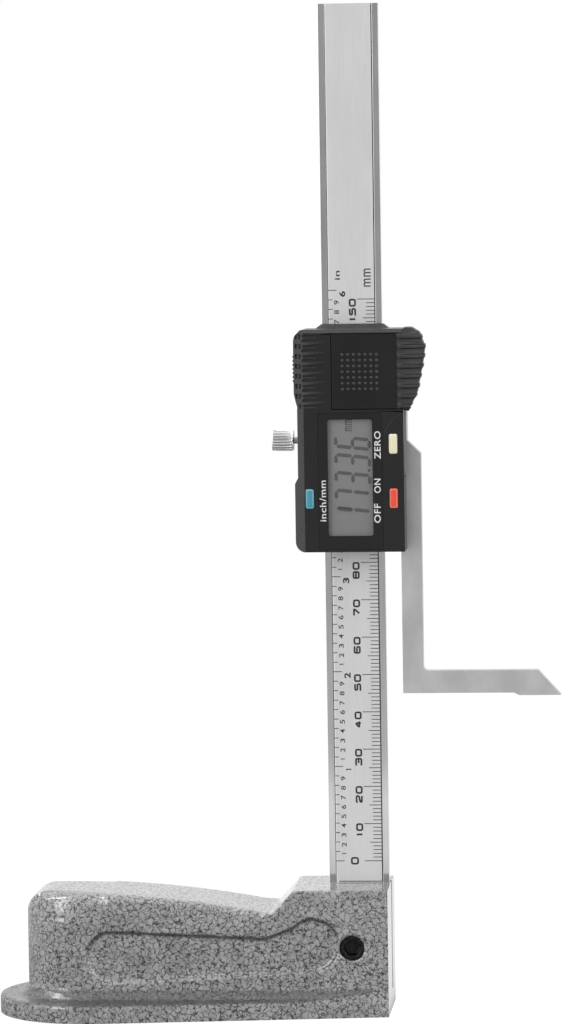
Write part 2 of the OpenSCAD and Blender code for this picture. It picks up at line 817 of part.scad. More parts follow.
module housing_shell() {
    color([0.16, 0.16, 0.17]) at_slider() {
        difference() {
            housing_solid();
            // Hollow under the window, and hollow behind the battery deck
            block(inner_left, inner_right, inner_front, house_back + cut, inner_bottom, divider_bottom);
            block(inner_left, inner_right, deck_back, house_back + cut, divider_top, inner_top);
            // Room for the board past the divider
            block(inner_left, inner_right, board_front - board_room, house_back + cut,
                  divider_bottom - cut, divider_top + cut);
            // Track of the battery cover
            block(cover_left - skin_fit, house_right + cut, house_face - cut, cover_back,
                  cover_bottom - skin_fit, cover_top + skin_fit);
            block(cover_left - skin_fit, house_right + cut, cover_back - lap, deck_front,
                  cover_bottom - tongue - skin_fit, cover_top + tongue + skin_fit);
            translate([cell_x, 0, cell_z]) rod_y(deck_front - cut, deck_back + cut, cell_radius + cell_fit);
            // Label, lens and window
            translate([label_x, 0, label_z]) along_y(house_face - cut, label_back)
                square([label_width, label_height], center = true);
            translate([window_x, 0, window_z]) along_y(house_face - cut, lens_back + pocket_gap)
                square([window_width + 2 * lens_rim, window_height + 2 * lens_rim], center = true);
            translate([window_x, 0, window_z]) along_y(house_face - cut, inner_front + cut)
                square([window_width + 2 * window_step, window_height + 2 * window_step], center = true);
            button_hole(button_x_left, button_z_low);
            button_hole(button_x_right, button_z_low);
            button_hole(button_x_right, button_z_high);
        }
        difference() {
            union() {
                for (p = boss_places) translate([p[0], 0, p[1]])
                    rod_y((p[1] > cover_bottom && p[0] > 0 ? deck_back : inner_front) - boss_root,
                          house_back, boss_radius);
                difference() {
                    translate([cell_x, 0, cell_z])
                        rod_y(deck_back - boss_root, board_front - board_room,
                              cell_radius + cell_fit + well_wall);
                    translate([cell_x, 0, cell_z])
                        rod_y(deck_front - cut, board_front + cut, cell_radius + cell_fit);
                    block(cell_x - cell_radius - notch_out, cell_x - cell_radius + notch_in,
                          deck_back, board_front + cut, cell_z - notch_half, cell_z + notch_half);
                }
            }
            for (p = boss_places) translate([p[0], 0, p[1]])
                rod_y(house_back - pilot_depth, house_back + cut, housing_screw_radius + pilot_fit);
        }
    }
}

module button_hole(x, z) {
    translate([x, 0, z]) along_y(house_face - cut, inner_front + cut)
        round_rect(button_width + 2 * button_fit, button_height + 2 * button_fit,
                   button_corner + skin_fit);
}

module front_label() {
    color([0.2, 0.2, 0.21]) at_slider() along_y(house_face, label_back) difference() {
        translate([label_x, label_z])
            square([label_width - 2 * skin_fit, label_height - 2 * skin_fit], center = true);
        translate([window_x, window_z]) round_rect(window_width, window_height, window_round);
    }
}

module window_lens() {
    color([0.8, 0.85, 0.85, 0.4]) at_slider() translate([window_x, 0, window_z])
        along_y(label_back, lens_back)
            square([window_width + 2 * lens_rim - 2 * skin_fit,
                    window_height + 2 * lens_rim - 2 * skin_fit], center = true);
}

module lcd_glass() {
    color([0.5, 0.52, 0.5]) at_slider() translate([window_x, 0, window_z])
        along_y(glass_front, glass_back) square([glass_width, glass_height], center = true);
}

module lcd_holder() {
    color("white") at_slider() translate([window_x, 0, window_z]) difference() {
        along_y(glass_front, board_front) square([holder_width, holder_height], center = true);
        along_y(glass_front - cut, glass_back)
            square([glass_width + 2 * holder_gap, glass_height + 2 * holder_gap], center = true);
        along_y(glass_front - cut, board_front + cut)
            square([holder_open_width, holder_open_height], center = true);
    }
}

module zebra_strip() {
    color([0.9, 0.5, 0.5]) at_slider()
        block(zebra_x, zebra_x + zebra_width, glass_back, board_front,
              window_z - holder_open_height / 2 + zebra_end_gap,
              window_z + holder_open_height / 2 - zebra_end_gap);
}

module circuit_board() {
    color("green") at_slider() difference() {
        block(board_left, board_right, board_front, house_back, board_bottom, board_top);
        for (p = boss_places) translate([p[0], 0, p[1]])
            rod_y(board_front - cut, house_back + cut, boss_radius + screw_clear);
    }
}

module processor_cap() {
    color([0.1, 0.1, 0.1]) at_slider()
        translate([chip_x, 0, window_z]) along_y(board_front - chip_thick, board_front)
            square(chip_size, center = true);
}

module keypad_pad(x0, x1, z0, z1) {
    block(x0, x1, keypad_front, board_front, z0, z1);
}

module keypad_dome(x, z) {
    translate([x, 0, z]) rod_y(dome_front, board_front - keypad_edge, dome_radius);
}

module keypad_pads() {
    color([0.6, 0.6, 0.6]) at_slider() {
        keypad_pad(board_left + keypad_edge, window_x - keypad_inner,
                   button_z_low - keypad_margin, button_z_low + keypad_margin);
        keypad_dome(button_x_left, button_z_low);
        keypad_pad(window_x + keypad_inner, board_right - keypad_edge,
                   button_z_low - keypad_margin, button_z_high + keypad_margin);
        keypad_dome(button_x_right, button_z_low);
        keypad_dome(button_x_right, button_z_high);
    }
}

module push_button(x, z) {
    at_slider() translate([x, 0, z]) {
        along_y(house_face - button_proud, flange_front)
            round_rect(button_width, button_height, button_corner);
        along_y(flange_front - lap, flange_back)
            square([stem_width, button_height + 2 * flange_extra], center = true);
        along_y(flange_back - lap, stem_back) square([stem_width, stem_height], center = true);
    }
}

module button_inch_mm() {
    color([0.1, 0.5, 0.7]) push_button(button_x_left, button_z_low);
}

module button_zero() {
    color([0.93, 0.87, 0.5]) push_button(button_x_right, button_z_high);
}

module button_on_off() {
    color([0.85, 0.2, 0.13]) push_button(button_x_right, button_z_low);
}

// The battery cover's thumb grip, seen from the front
module thumb_outline() {
    polygon(concat(
        [[thumb_left, cover_bottom - thumb_foot]],
        [for (p = thumb_low) [house_right + p[0] * thumb_reach, cover_bottom + p[1]]],
        [for (p = thumb_high) [house_right + p[0] * thumb_reach, cover_top + p[1]]],
        [[thumb_left, cover_top + thumb_roof]]
    ));
}

// The front of the cover, seen from above: flat, then slanting back along the thumb grip
module cover_front_plan(proud = 0) {
    polygon([
        [cover_left, cover_face], [thumb_slope_left, cover_face - proud],
        [thumb_right, cover_face + thumb_slope_depth - proud], [thumb_right, thumb_back],
        [cover_left, thumb_back]
    ]);
}

module cover_depth_range() {
    translate([0, 0, cover_bottom - cover_margin])
        linear_extrude(cover_height + 2 * cover_margin) children();
}

module battery_cover() {
    color([0.15, 0.15, 0.16]) at_slider() {
        intersection() {
            union() {
                block(cover_left, thumb_left + cut, cover_face, cover_back, cover_bottom, cover_top);
                along_y(cover_face, thumb_back) thumb_outline();
            }
            cover_depth_range() cover_front_plan();
        }
        block(cover_left, house_right, cover_back - lap, tongue_back,
              cover_bottom - tongue, cover_top + tongue);
        intersection() {
            cover_depth_range() difference() {
                cover_front_plan(rib_height);
                translate([0, rib_root]) cover_front_plan();
            }
            along_y(cover_face - cut, thumb_back) rib_outlines();
        }
    }
}

// Level ribs within the thumb grip's outline
module rib_outlines() {
    intersection() {
        union() {
            translate([thumb_slope_left, cover_bottom])
                square([thumb_left - thumb_slope_left + lap, cover_height]);
            thumb_outline();
        }
        for (i = [0:rib_count - 1])
            translate([thumb_slope_left, cover_top - rib_first - i * rib_pitch - rib_width])
                square([thumb_right - thumb_slope_left, rib_width]);
    }
}

module coin_cell() {
    color("silver") at_slider() translate([cell_x, 0, cell_z]) {
        rod_y(cell_front, cell_back - cell_step, cell_radius);
        rod_y(cell_back - cell_step - lap, cell_back, cell_radius - cell_shoulder);
    }
}

module battery_contact_minus() {
    color("gold") at_slider() {
        block(cell_x - contact_half, cell_x + contact_half, board_front - contact_thick, board_front,
              cell_z - contact_foot, cell_z);
        block(cell_x - contact_half, cell_x + contact_half, cell_back, board_front,
              cell_z - contact_thick, cell_z);
        block(cell_x - contact_half, cell_x + contact_half, cell_back, cell_back + contact_thick,
              cell_z - contact_thick, cell_z + contact_tongue);
    }
}

module battery_contact_plus() {
    x = cell_x - cell_radius;
    color("gold") at_slider() {
        block(x - contact_thick, x, deck_back + contact_rise, board_front,
              cell_z - contact_half, cell_z + contact_half);
        block(x - contact_tongue, x, board_front - contact_thick, board_front,
              cell_z - contact_half, cell_z + contact_half);
    }
}

module housing_screws() {
    color([0.75, 0.75, 0.77]) at_slider() for (p = boss_places) translate([p[0], 0, p[1]]) difference() {
        union() {
            rod_y(frame_rear - screw_sink, frame_rear - head_gap, head_radius);
            rod_y(house_back - screw_reach, frame_rear - screw_sink + lap, housing_screw_radius);
        }
        for (turn = [0, 90]) rotate([0, turn, 0])
            block(-cross_reach, cross_reach, frame_rear - head_gap - cross_depth, frame_rear + cut,
                  -cross_half, cross_half);
    }
}

base_casting();
beam();
scale_board();
scale_foil();
beam_set_screw();
beam_clamp_pad();
slider_frame();
gib_strip();
gib_screws();
lock_screw();
lock_pad();
housing_shell();
front_label();
window_lens();
lcd_glass();
lcd_holder();
zebra_strip();
circuit_board();
processor_cap();
keypad_pads();
button_inch_mm();
button_zero();
button_on_off();
battery_cover();
coin_cell();
battery_contact_plus();
battery_contact_minus();
housing_screws();
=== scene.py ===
# %% [markdown]
# # A digital height gauge, dressed for its portrait
# The gauge stands on a painted casting. A steel beam carries a printed scale, and a slider with a
# display, three buttons and a scriber arm runs up and down it. The CAD model gives every piece its
# place and size. Blender adds what CAD leaves out: rounded edges, paint, ground steel, print and light.
# Everything is modelled in millimetres, because a 0.2 mm edge is easier to read than 0.0002 m, and
# each finished piece is then brought down to metres.

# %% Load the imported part
import math

import bpy
from mathutils import Matrix, Vector


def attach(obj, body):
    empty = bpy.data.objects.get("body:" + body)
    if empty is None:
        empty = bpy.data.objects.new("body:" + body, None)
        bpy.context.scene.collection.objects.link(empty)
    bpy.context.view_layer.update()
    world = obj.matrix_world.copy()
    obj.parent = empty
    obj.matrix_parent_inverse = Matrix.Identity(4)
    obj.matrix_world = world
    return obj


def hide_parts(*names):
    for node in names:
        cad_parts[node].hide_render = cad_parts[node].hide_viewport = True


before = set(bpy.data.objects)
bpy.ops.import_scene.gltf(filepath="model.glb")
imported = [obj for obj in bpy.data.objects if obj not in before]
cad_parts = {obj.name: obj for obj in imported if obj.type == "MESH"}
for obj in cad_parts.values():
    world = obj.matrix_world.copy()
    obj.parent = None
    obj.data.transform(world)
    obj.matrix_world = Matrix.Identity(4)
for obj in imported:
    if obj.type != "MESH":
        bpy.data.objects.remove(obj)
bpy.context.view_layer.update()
MM = 0.001
scene = bpy.context.scene

# %% [markdown]
# ## The camera
# A photograph of a tall, thin object is taken from far off with a long lens, so that its verticals
# stay nearly parallel. The printed scale has known distances, so the camera's place was worked out
# from it: five degrees round to the right, four and a half degrees up, and about 1.4 m away.

# %% Place the camera
AIM = Vector((24.5, 2.75, 132.96)) * MM
AZIMUTH = math.radians(4.825)
ELEVATION = math.radians(4.465)
ROLL = math.radians(-0.86)
DISTANCE = 1416.8 * MM
FOCAL_PIXELS = 5321.7
IMAGE_HEIGHT = 1024
SENSOR = 36

back = Vector((math.sin(AZIMUTH) * math.cos(ELEVATION), -math.cos(AZIMUTH) * math.cos(ELEVATION),
               math.sin(ELEVATION)))
level = (-back).cross(Vector((0, 0, 1))).normalized()
upright = level.cross(-back)
right = math.cos(ROLL) * level + math.sin(ROLL) * upright
up = -math.sin(ROLL) * level + math.cos(ROLL) * upright
camera = bpy.data.objects.new("camera", bpy.data.cameras.new("camera"))
scene.collection.objects.link(camera)
turned = Matrix((right, up, back)).transposed().to_4x4()
camera.matrix_world = Matrix.Translation(AIM + back * DISTANCE) @ turned
camera.data.sensor_width = SENSOR
camera.data.lens = FOCAL_PIXELS * SENSOR / IMAGE_HEIGHT
camera.data.clip_start = 0.05
camera.data.clip_end = 20
scene.camera = camera
print("lens", round(camera.data.lens, 1), "mm")

# %% [markdown]
# ## Shader sums in plain Python
# A finish is a small calculation: where a vein of the paint lies, how a grinding line catches the
# light. The class below wraps a shader socket, so that such a sum is written as a Python expression
# and each operator adds its Math node. Every other node comes from its one method, node().

# %% A socket that can be calculated with
class Wire:
    """A shader socket that takes part in sums."""

    def __init__(self, tree, socket=None):
        self.tree = tree
        self.socket = socket

    def node(self, kind, settings=None, inputs=None, output=0):
        """Adds a node: its settings first, then values or wires for its sockets."""
        made = self.tree.nodes.new("ShaderNode" + kind)
        for name, value in (settings or {}).items():
            setattr(made, name, value)
        for key, value in (inputs or {}).items():
            if isinstance(value, Wire):
                self.tree.links.new(value.socket, made.inputs[key])
            else:
                made.inputs[key].default_value = value
        return Wire(self.tree, made.outputs[output])

    def maths(self, operation, *others):
        """A Math node whose first term is this wire."""
        return self.node("Math", {"operation": operation}, dict(enumerate((self,) + others)))

    def __add__(self, other):
        return self.maths("ADD", other)

    def __sub__(self, other):
        return self.maths("SUBTRACT", other)

    def __rsub__(self, other):
        return self.node("Math", {"operation": "SUBTRACT"}, {0: other, 1: self})

    def __mul__(self, other):
        return self.maths("MULTIPLY", other)

    __radd__ = __add__
    __rmul__ = __mul__

    def between(self, low, high):
        """0 below low, 1 above high, and a soft step between them."""
        return self.node("MapRange", {"interpolation_type": "SMOOTHSTEP"},
                         {"Value": self, "From Min": low, "From Max": high})

    def blend(self, first, second):
        """The first colour where this wire is 0, and the second where it is 1."""
        return self.node("Mix", {"data_type": "RGBA"}, {0: self, 6: first, 7: second}, 2)

    def noise(self, scale, detail=2.0, roughness=0.5, output=0):
        return self.node("TexNoise", None, {"Vector": self, "Scale": scale, "Detail": detail,
                                            "Roughness": roughness}, output)

    def stretched(self, scale):
        return self.node("Mapping", None, {"Vector": self, "Scale": scale})

    def part(self, axis):
        """One component of a vector: 0, 1 or 2."""
        return self.node("SeparateXYZ", None, {0: self}, axis)

    def bump(self, distance, strength=1.0, under=None):
        """A normal that follows this height, in metres at distance."""
        inputs = {"Height": self, "Distance": distance, "Strength": strength}
        if under:
            inputs["Normal"] = under
        return self.node("Bump", None, inputs)


def grey(value):
    return (value, value, value, 1)


def new_finish(name, colour, metallic=0.0, roughness=0.5, **others):
    """A Principled material. Returns it, a wire of object coordinates, and a way to drive sockets."""
    material = bpy.data.materials.new(name)
    material.use_nodes = True
    tree = material.node_tree
    shader = tree.nodes["Principled BSDF"]
    shader.inputs["Base Color"].default_value = colour
    shader.inputs["Metallic"].default_value = metallic
    shader.inputs["Roughness"].default_value = roughness
    for key, value in others.items():
        shader.inputs[key.replace("_", " ")].default_value = value
    place = Wire(tree).node("TexCoord", output=3)

    def drive(**wires):
        for key, wire in wires.items():
            tree.links.new(wire.socket, shader.inputs[key.replace("_", " ")])

    return material, place, drive


print("shader helpers ready")

# %% [markdown]
# ## Hammered enamel
# The casting wears hammertone enamel. Silicone in the wet paint pulls it into flat silvery cells a
# millimetre or two wide, with thin dark veins between them, and the film dries glossy. A Voronoi
# texture draws such cells, and its distance to the nearest cell wall gives the veins. Noise bends
# them, because real ones are crooked, and breaks them off in patches, where a finer net takes over.

# %% Hammered enamel
WIDE_CELLS = 650
FINE_CELLS = 1350
BEND = 0.0021


def make_hammer_paint():
    paint, place, drive = new_finish("hammer_paint", grey(0.33), roughness=0.36,
                                     Coat_Roughness=0.08, Coat_IOR=1.65)
    bent = place.node("VectorMath", {"operation": "MULTIPLY_ADD"},
                      {0: place.noise(1000, 3, output=1), 1: (BEND,) * 3, 2: place})
    wall, fine_wall = [bent.node("TexVoronoi", {"feature": "DISTANCE_TO_EDGE"},
                                 {"Vector": bent, "Scale": cells}) for cells in (WIDE_CELLS, FINE_CELLS)]
    patch = place.noise(900, 2, 0.5)
    vein = (1 - wall.between(0.02, 0.15)) * patch.between(0.41, 0.51)
    fine_vein = (1 - fine_wall.between(0.02, 0.14)) * (1 - patch.between(0.38, 0.48))
    dark = vein.maths("MAXIMUM", fine_vein)
    cloud = place.noise(160, 3).between(0.3, 0.7)
    # The attribute read here is painted shade: it darkens the cells and weakens the coat under edges and on
    # the ledge.
    painted_dark = place.node("Attribute", {"attribute_name": "thin_paint"}, None, 2)
    cell = painted_dark.blend(cloud.blend(grey(0.355), grey(0.45)), grey(0.08))
    lump = wall.between(0.0, 0.5) * 0.6 + place.noise(1400, 2) * 0.4
    drive(Base_Color=dark.blend(cell, grey(0.012)),
          Roughness=0.26 + dark * 0.25 + cloud * 0.05,
          Coat_Weight=(1 - dark * 0.25) * (1 - painted_dark * 0.6),
          Normal=lump.bump(0.0001, 0.65, place.noise(300, 2).bump(0.0001, 0.35)))
    return paint


hammer_paint = make_hammer_paint()
print(hammer_paint.name, len(hammer_paint.node_tree.nodes), "nodes")

# %% [markdown]
# ## Ground and satin steel
# Steel on a measuring tool is ground or brushed. The wheel leaves fine parallel lines, so the noise
# that roughens the metal is stretched along them. One helper makes each steel from its colour, its
# roughness and the direction of its lines.

# %% Steels and other metals
ALONG_Z = (2600, 2600, 40)
ALONG_X = (40, 2600, 2600)
ALL_WAYS = (900, 900, 900)
BLOTCHY = (160, 160, 90)


def make_metal(name, tone, roughness, lines, depth=0.000004, spread=0.12, tint=(1, 1, 1)):
    metal, place, drive = new_finish(name, grey(tone), 1.0, roughness)
    line = place.stretched(lines).noise(1.0, 3, 0.6)
    smear = place.noise(45, 3, 0.6)
    low = [tone * 0.88 * c for c in tint] + [1]
    high = [min(1.0, tone * 1.1) * c for c in tint] + [1]
    drive(Base_Color=(line * 0.5 + smear * 0.5).between(0.3, 0.7).blend(low, high),
          Roughness=roughness - spread / 2 + spread * (line * 0.7 + smear * 0.3),
          Normal=line.bump(depth, 0.6))
    return metal


beam_steel = make_metal("beam_steel", 0.61, 0.10, ALONG_Z, 0.000002, 0.06)
frame_steel = make_metal("frame_steel", 0.54, 0.40, BLOTCHY, 0.000001, 0.06)
machined_iron = make_metal("machined_iron", 0.62, 0.24, ALONG_X, 0.000004)
screw_steel = make_metal("screw_steel", 0.55, 0.28, ALL_WAYS)
cell_steel = make_metal("cell_steel", 0.66, 0.26, ALL_WAYS, 0.000002)
brass = make_metal("brass", 0.75, 0.30, ALL_WAYS, tint=(1.0, 0.78, 0.42))
print("metals ready")

# %% [markdown]
# The lock knob is plated and bright. Object coordinates tell how far a point lies from the knob's axis,
# so that the bottoms of the knurl's grooves are painted dark, as painted shade.

# %% Knurled chrome
KNOB_AXIS = (3.25, 152.0)
KNURL_FLOOR = 2.62
KNURL_TIP = 2.84


def make_lock_chrome():
    chrome, place, drive = new_finish("lock_chrome", grey(0.8), 1.0, 0.16)
    across = place.part(1) * (1 / MM) - KNOB_AXIS[0]
    upwards = place.part(2) * (1 / MM) - KNOB_AXIS[1]
    radius = (across * across + upwards * upwards).maths("SQRT")
    # The groove bottoms get a dark colour as painted shade, the ridges a bright one.
    raised = radius.between(KNURL_FLOOR, KNURL_TIP)
    line = place.stretched(ALONG_X).noise(1.0, 3, 0.6)
    drive(Base_Color=raised.blend(grey(0.36), grey(0.97)), Roughness=0.30 - raised * 0.16 + line * 0.05,
          Normal=line.bump(0.000003, 0.6))
    return chrome


lock_chrome = make_lock_chrome()
print(lock_chrome.name)

# %% [markdown]
# The set screw is black-oxide steel: nearly black, still metal, with oil in it. The scale is a printed
# foil with a satin silver face, finely brushed and lightly clouded, and a painted highlight as a whiter rim.

# %% Black steel and the silver foil
def make_black_steel():
    metal, place, drive = new_finish("black_steel", grey(0.012), 0.6, 0.35)
    worn = place.noise(900, 3, 0.6)
    drive(Base_Color=worn.between(0.4, 0.75).blend(grey(0.006), grey(0.03)),
          Roughness=0.28 + worn * 0.2, Normal=worn.bump(0.00001, 0.4))
    return metal


FOIL_MIDDLE = 44.2
HIGHLIGHT_FROM = 5.83
HIGHLIGHT_TO = 5.97


def make_foil():
    foil, place, drive = new_finish("scale_foil", grey(0.60), 0.35, 0.42)
    grain = place.stretched((1500, 1500, 120)).noise(1.0, 3, 0.6)
    cloud = place.stretched((40, 40, 14)).noise(1.0, 3, 0.6)
    from_middle = (place.part(0) * (1 / MM) - FOIL_MIDDLE).maths("ABSOLUTE")
    silver = (grain * 0.35 + cloud * 0.65).between(0.3, 0.7).blend(grey(0.70), grey(0.78))
    # Near-white along the foil's two long edges: a painted highlight.
    drive(Base_Color=from_middle.between(HIGHLIGHT_FROM, HIGHLIGHT_TO).blend(silver, grey(0.95)),
          Roughness=0.36 + grain * 0.14, Normal=grain.bump(0.000003, 0.5))
    return foil


black_steel = make_black_steel()
scale_foil = make_foil()
print(black_steel.name, scale_foil.name)

# %% [markdown]
# ## Plastics, rubber and print
# The housing is black moulded plastic. Its mould was spark-eroded, which leaves a fine grain, and
# fingers polish it here and there. One helper makes every moulded or printed finish: a colour that
# varies a little, a grain of a given size and a roughness that follows both.
# On the thumb grip the colour also grows paler towards its right edge, as painted light.

# %% Moulded and printed finishes
def make_moulded(name, colour, roughness, grain_size, grain_depth, contrast=0.12, coat=0.0, sheen=0.5,
                 before_painted_light=None, painted_light_from=0.0, painted_light_to=0.0):
    plastic, place, drive = new_finish(name, colour, 0.0, roughness, Coat_Weight=coat,
                                       Coat_Roughness=0.1, Specular_IOR_Level=sheen)
    grain = place.noise(1.0 / grain_size, 3, 0.6)
    cloud = place.noise(70, 3, 0.6)
    low = [c * (1 - contrast) for c in colour[:3]] + [1]
    high = [c * (1 + contrast) for c in colour[:3]] + [1]
    tone = (grain * 0.4 + cloud * 0.6).between(0.3, 0.7).blend(low, high)
    # A paler tone towards one end, as painted light.
    if before_painted_light:
        tone = place.part(0).between(painted_light_from, painted_light_to).blend(before_painted_light, tone)
    drive(Base_Color=tone,
          Roughness=roughness - 0.06 + 0.12 * (grain * 0.5 + cloud * 0.5),
          Normal=grain.bump(grain_depth, 0.6))
    return plastic


housing_plastic = make_moulded("housing_plastic", grey(0.0152), 0.36, 0.00022, 0.000012, 0.2, 0.0, 0.3)
cover_plastic = make_moulded("cover_plastic", grey(0.0095), 0.38, 0.00022, 0.000012, 0.2, 0.0, 0.28)
# The grip grows paler towards its right edge as painted light.
grip_plastic = make_moulded("grip_plastic", grey(0.028), 0.36, 0.00022, 0.000012, 0.2, 0.0, 0.4,
                            before_painted_light=grey(0.0105), painted_light_from=0.0566, painted_light_to=0.0620)
# A paler plastic that stands in for highlights: painted highlight on faces that catch the light.
painted_highlight_plastic = make_moulded("painted_highlight_plastic", grey(0.030), 0.28, 0.00022, 0.000008, 0.2, 0.0, 0.5)
label_film = make_moulded("label_film", grey(0.0136), 0.30, 0.00015, 0.000004, 0.12, 0.0, 0.3)
display_glass = make_moulded("display_glass", (0.200, 0.203, 0.200, 1), 0.45, 0.0005, 0.000002, 0.03)
segment_ink = make_moulded("segment_ink", grey(0.020), 0.5, 0.0004, 0.000002, 0.1)
white_plastic = make_moulded("white_plastic", grey(0.72), 0.42, 0.0003, 0.00001, 0.04)
zebra_rubber = make_moulded("zebra_rubber", (0.62, 0.30, 0.28, 1), 0.7, 0.0002, 0.00002, 0.15)
board_laminate = make_moulded("board_laminate", (0.020, 0.13, 0.045, 1), 0.35, 0.0006, 0.00002, 0.2, 0.4)
circuit_strip = make_moulded("circuit_strip", (0.03, 0.12, 0.05, 1), 0.4, 0.0004, 0.00001, 0.15)
chip_resin = make_moulded("chip_resin", grey(0.012), 0.3, 0.001, 0.00005, 0.2, 0.3)
keypad_rubber = make_moulded("keypad_rubber", grey(0.32), 0.75, 0.0002, 0.00001, 0.1)
button_blue = make_moulded("button_blue", (0.077, 0.345, 0.47, 1), 0.30, 0.0003, 0.000006, 0.08)
button_yellow = make_moulded("button_yellow", (1.0, 0.94, 0.60, 1), 0.30, 0.0003, 0.000006, 0.05)
button_red = make_moulded("button_red", (1.0, 0.100, 0.054, 1), 0.30, 0.0003, 0.000006, 0.06)
# Paler rim colours: painted highlights on the buttons' rounded rims.
blue_painted_highlight = make_moulded("blue_painted_highlight", (0.21, 0.54, 0.64, 1), 0.30, 0.0003, 0.000006, 0.05)
yellow_painted_highlight = make_moulded("yellow_painted_highlight", (0.97, 0.96, 0.80, 1), 0.30, 0.0003, 0.000006, 0.03)
red_painted_highlight = make_moulded("red_painted_highlight", (0.97, 0.26, 0.20, 1), 0.30, 0.0003, 0.000006, 0.05)
scale_ink_and_shadow = make_moulded("scale_ink_and_shadow", grey(0.018), 0.5, 0.0002, 0.000003, 0.25)
label_ink = make_moulded("label_ink", grey(0.86), 0.5, 0.0002, 0.000003, 0.03)
print("plastics and inks ready")

# %% [markdown]
# The window lens is clear acrylic. Light passes straight through it to the display, and only a little
# of its own surface shows, so a low alpha does for it what true refraction would, without its noise.

# %% Window acrylic
def make_acrylic():
    acrylic, place, drive = new_finish("window_acrylic", grey(0.7), roughness=0.06)
    haze = place.noise(220, 3, 0.6)
    drive(Alpha=0.05 + 0.04 * haze, Roughness=0.04 + 0.06 * haze)
    return acrylic


window_acrylic = make_acrylic()
print(window_acrylic.name)

# %% [markdown]
# ## Tools for shaping
# A piece starts as a primitive or as a copy of a CAD solid. The next helpers do what a hand does: they
# add it, pick its vertices or edges by their place and use one tool of edit mode on them, and finish
# with modifiers that are applied at once.

# %% Start a piece
HAIR = 0.01
TO_FRONT = (math.pi / 2, 0, 0)


def only(piece):
    """Leaves one object selected and active."""
    bpy.ops.object.select_all(action="DESELECT")
    piece.select_set(True)
    bpy.context.view_layer.objects.active = piece


def copy_of(node, name):
    """A copy of a CAD node in millimetres, its triangles merged and its flat faces joined up."""
    piece = bpy.data.objects.new(name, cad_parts[node].data.copy())
    scene.collection.objects.link(piece)
    only(piece)
    piece.data.materials.clear()
    bpy.ops.mesh.customdata_custom_splitnormals_clear()
    piece.scale = (1 / MM,) * 3
    bpy.ops.object.transform_apply(location=False, rotation=False, scale=True)
    bpy.ops.object.mode_set(mode="EDIT")
    bpy.ops.mesh.select_all(action="SELECT")
    bpy.ops.mesh.remove_doubles(threshold=0.002)
    bpy.ops.mesh.dissolve_limited(angle_limit=math.radians(0.5))
    bpy.ops.object.mode_set(mode="OBJECT")
    return piece


def add(name, primitive, scale=(1, 1, 1), **settings):
    """Adds a primitive with nothing else selected, and applies its place, turn and scale."""
    bpy.ops.object.select_all(action="DESELECT")
    primitive(**settings)
    piece = bpy.context.object
    piece.name = piece.data.name = name
    piece.scale = scale
    bpy.ops.object.transform_apply()
    return piece


def block(name, low, high):
    """A box between two corners, made from the cube primitive."""
    middle = [(a + b) / 2 for a, b in zip(low, high)]
    sides = [b - a for a, b in zip(low, high)]
    return add(name, bpy.ops.mesh.primitive_cube_add, sides, size=1, location=middle)


def join(pieces, name=None):
    """Joins the pieces into the first one, which may get a new name."""
    bpy.ops.object.select_all(action="DESELECT")
    for piece in pieces:
        piece.select_set(True)
    bpy.context.view_layer.objects.active = pieces[0]
    bpy.ops.object.join()
    if name:
        pieces[0].name = name
    return pieces[0]


print("starts ready: copy, primitive, block")

# %% Shape it in edit mode
def every(item):
    """The test that picks all."""
    return True


def edit(piece, kind, test, tool, **settings):
    """Picks the vertices or edges that pass the test and uses one tool on them. Returns their number."""
    only(piece)
    mesh = piece.data
    for group in (mesh.vertices, mesh.edges, mesh.polygons):
        group.foreach_set("select", [False] * len(group))
    picked = [item for item in (mesh.vertices if kind == "VERT" else mesh.edges) if test(item)]
    for item in picked:
        item.select = True
    bpy.ops.object.mode_set(mode="EDIT")
    bpy.ops.mesh.select_mode(type=kind)
    tool(**settings)
    bpy.ops.object.mode_set(mode="OBJECT")
    return len(picked)


def shift(piece, test, move):
    """Moves the vertices that pass the test."""
    edit(piece, "VERT", test, bpy.ops.transform.translate, value=move)


def bevel(piece, test, width, segments):
    """Bevels the edges that pass the test, and returns their number."""
    return edit(piece, "EDGE", test, bpy.ops.mesh.bevel, offset=width, segments=segments, affect="EDGES")


def cut_off(piece, point, outwards):
    """Cuts a piece by a plane, takes away what lies outwards of it and closes the cut."""
    edit(piece, "VERT", every, bpy.ops.mesh.bisect, plane_co=point, plane_no=outwards,
         use_fill=True, clear_outer=True)


def ends(piece, edge):
    """The places of an edge's two ends."""
    return [piece.data.vertices[i].co for i in edge.vertices]


def run_back(piece, edge):
    """How far an edge runs from front to back."""
    a, b = ends(piece, edge)
    return abs(a.y - b.y)


print("edit tools ready")

# %% Apply modifiers
def modify(piece, kind, **settings):
    """Adds a modifier and applies it."""
    only(piece)
    modifier = piece.modifiers.new(kind, kind)
    for name, value in settings.items():
        setattr(modifier, name, value)
    bpy.ops.object.modifier_apply(modifier=modifier.name)


def soften(piece, width, segments=2, angle=30):
    """Rounds every edge that is sharper than the angle."""
    modify(piece, "BEVEL", width=width, segments=segments, limit_method="ANGLE",
           angle_limit=math.radians(angle), use_clamp_overlap=False)


def repeat(piece, count, offset):
    """Repeats a piece in a row, each copy that far from the one before."""
    modify(piece, "ARRAY", count=count, use_relative_offset=False, use_constant_offset=True,
           constant_offset_displace=offset)


def cut(piece, cutter):
    """Takes the form of a cutter out of a piece, and removes the cutter."""
    modify(piece, "BOOLEAN", operation="DIFFERENCE", object=cutter, solver="EXACT")
    print(piece.name, "cut by", cutter.name + ":", len(piece.data.polygons), "faces")
    bpy.data.objects.remove(cutter)


print("modifiers ready")

# %% [markdown]
# A finished piece gets its finishes, comes down to metres, and rides on the body that it belongs to.
# The CAD solids that it stands for are hidden.

# %% Hand a piece over
def dress(piece, *finishes):
    """Gives a piece its finishes. A face's number picks one of them."""
    piece.data.materials.clear()
    for finish in finishes:
        piece.data.materials.append(finish)


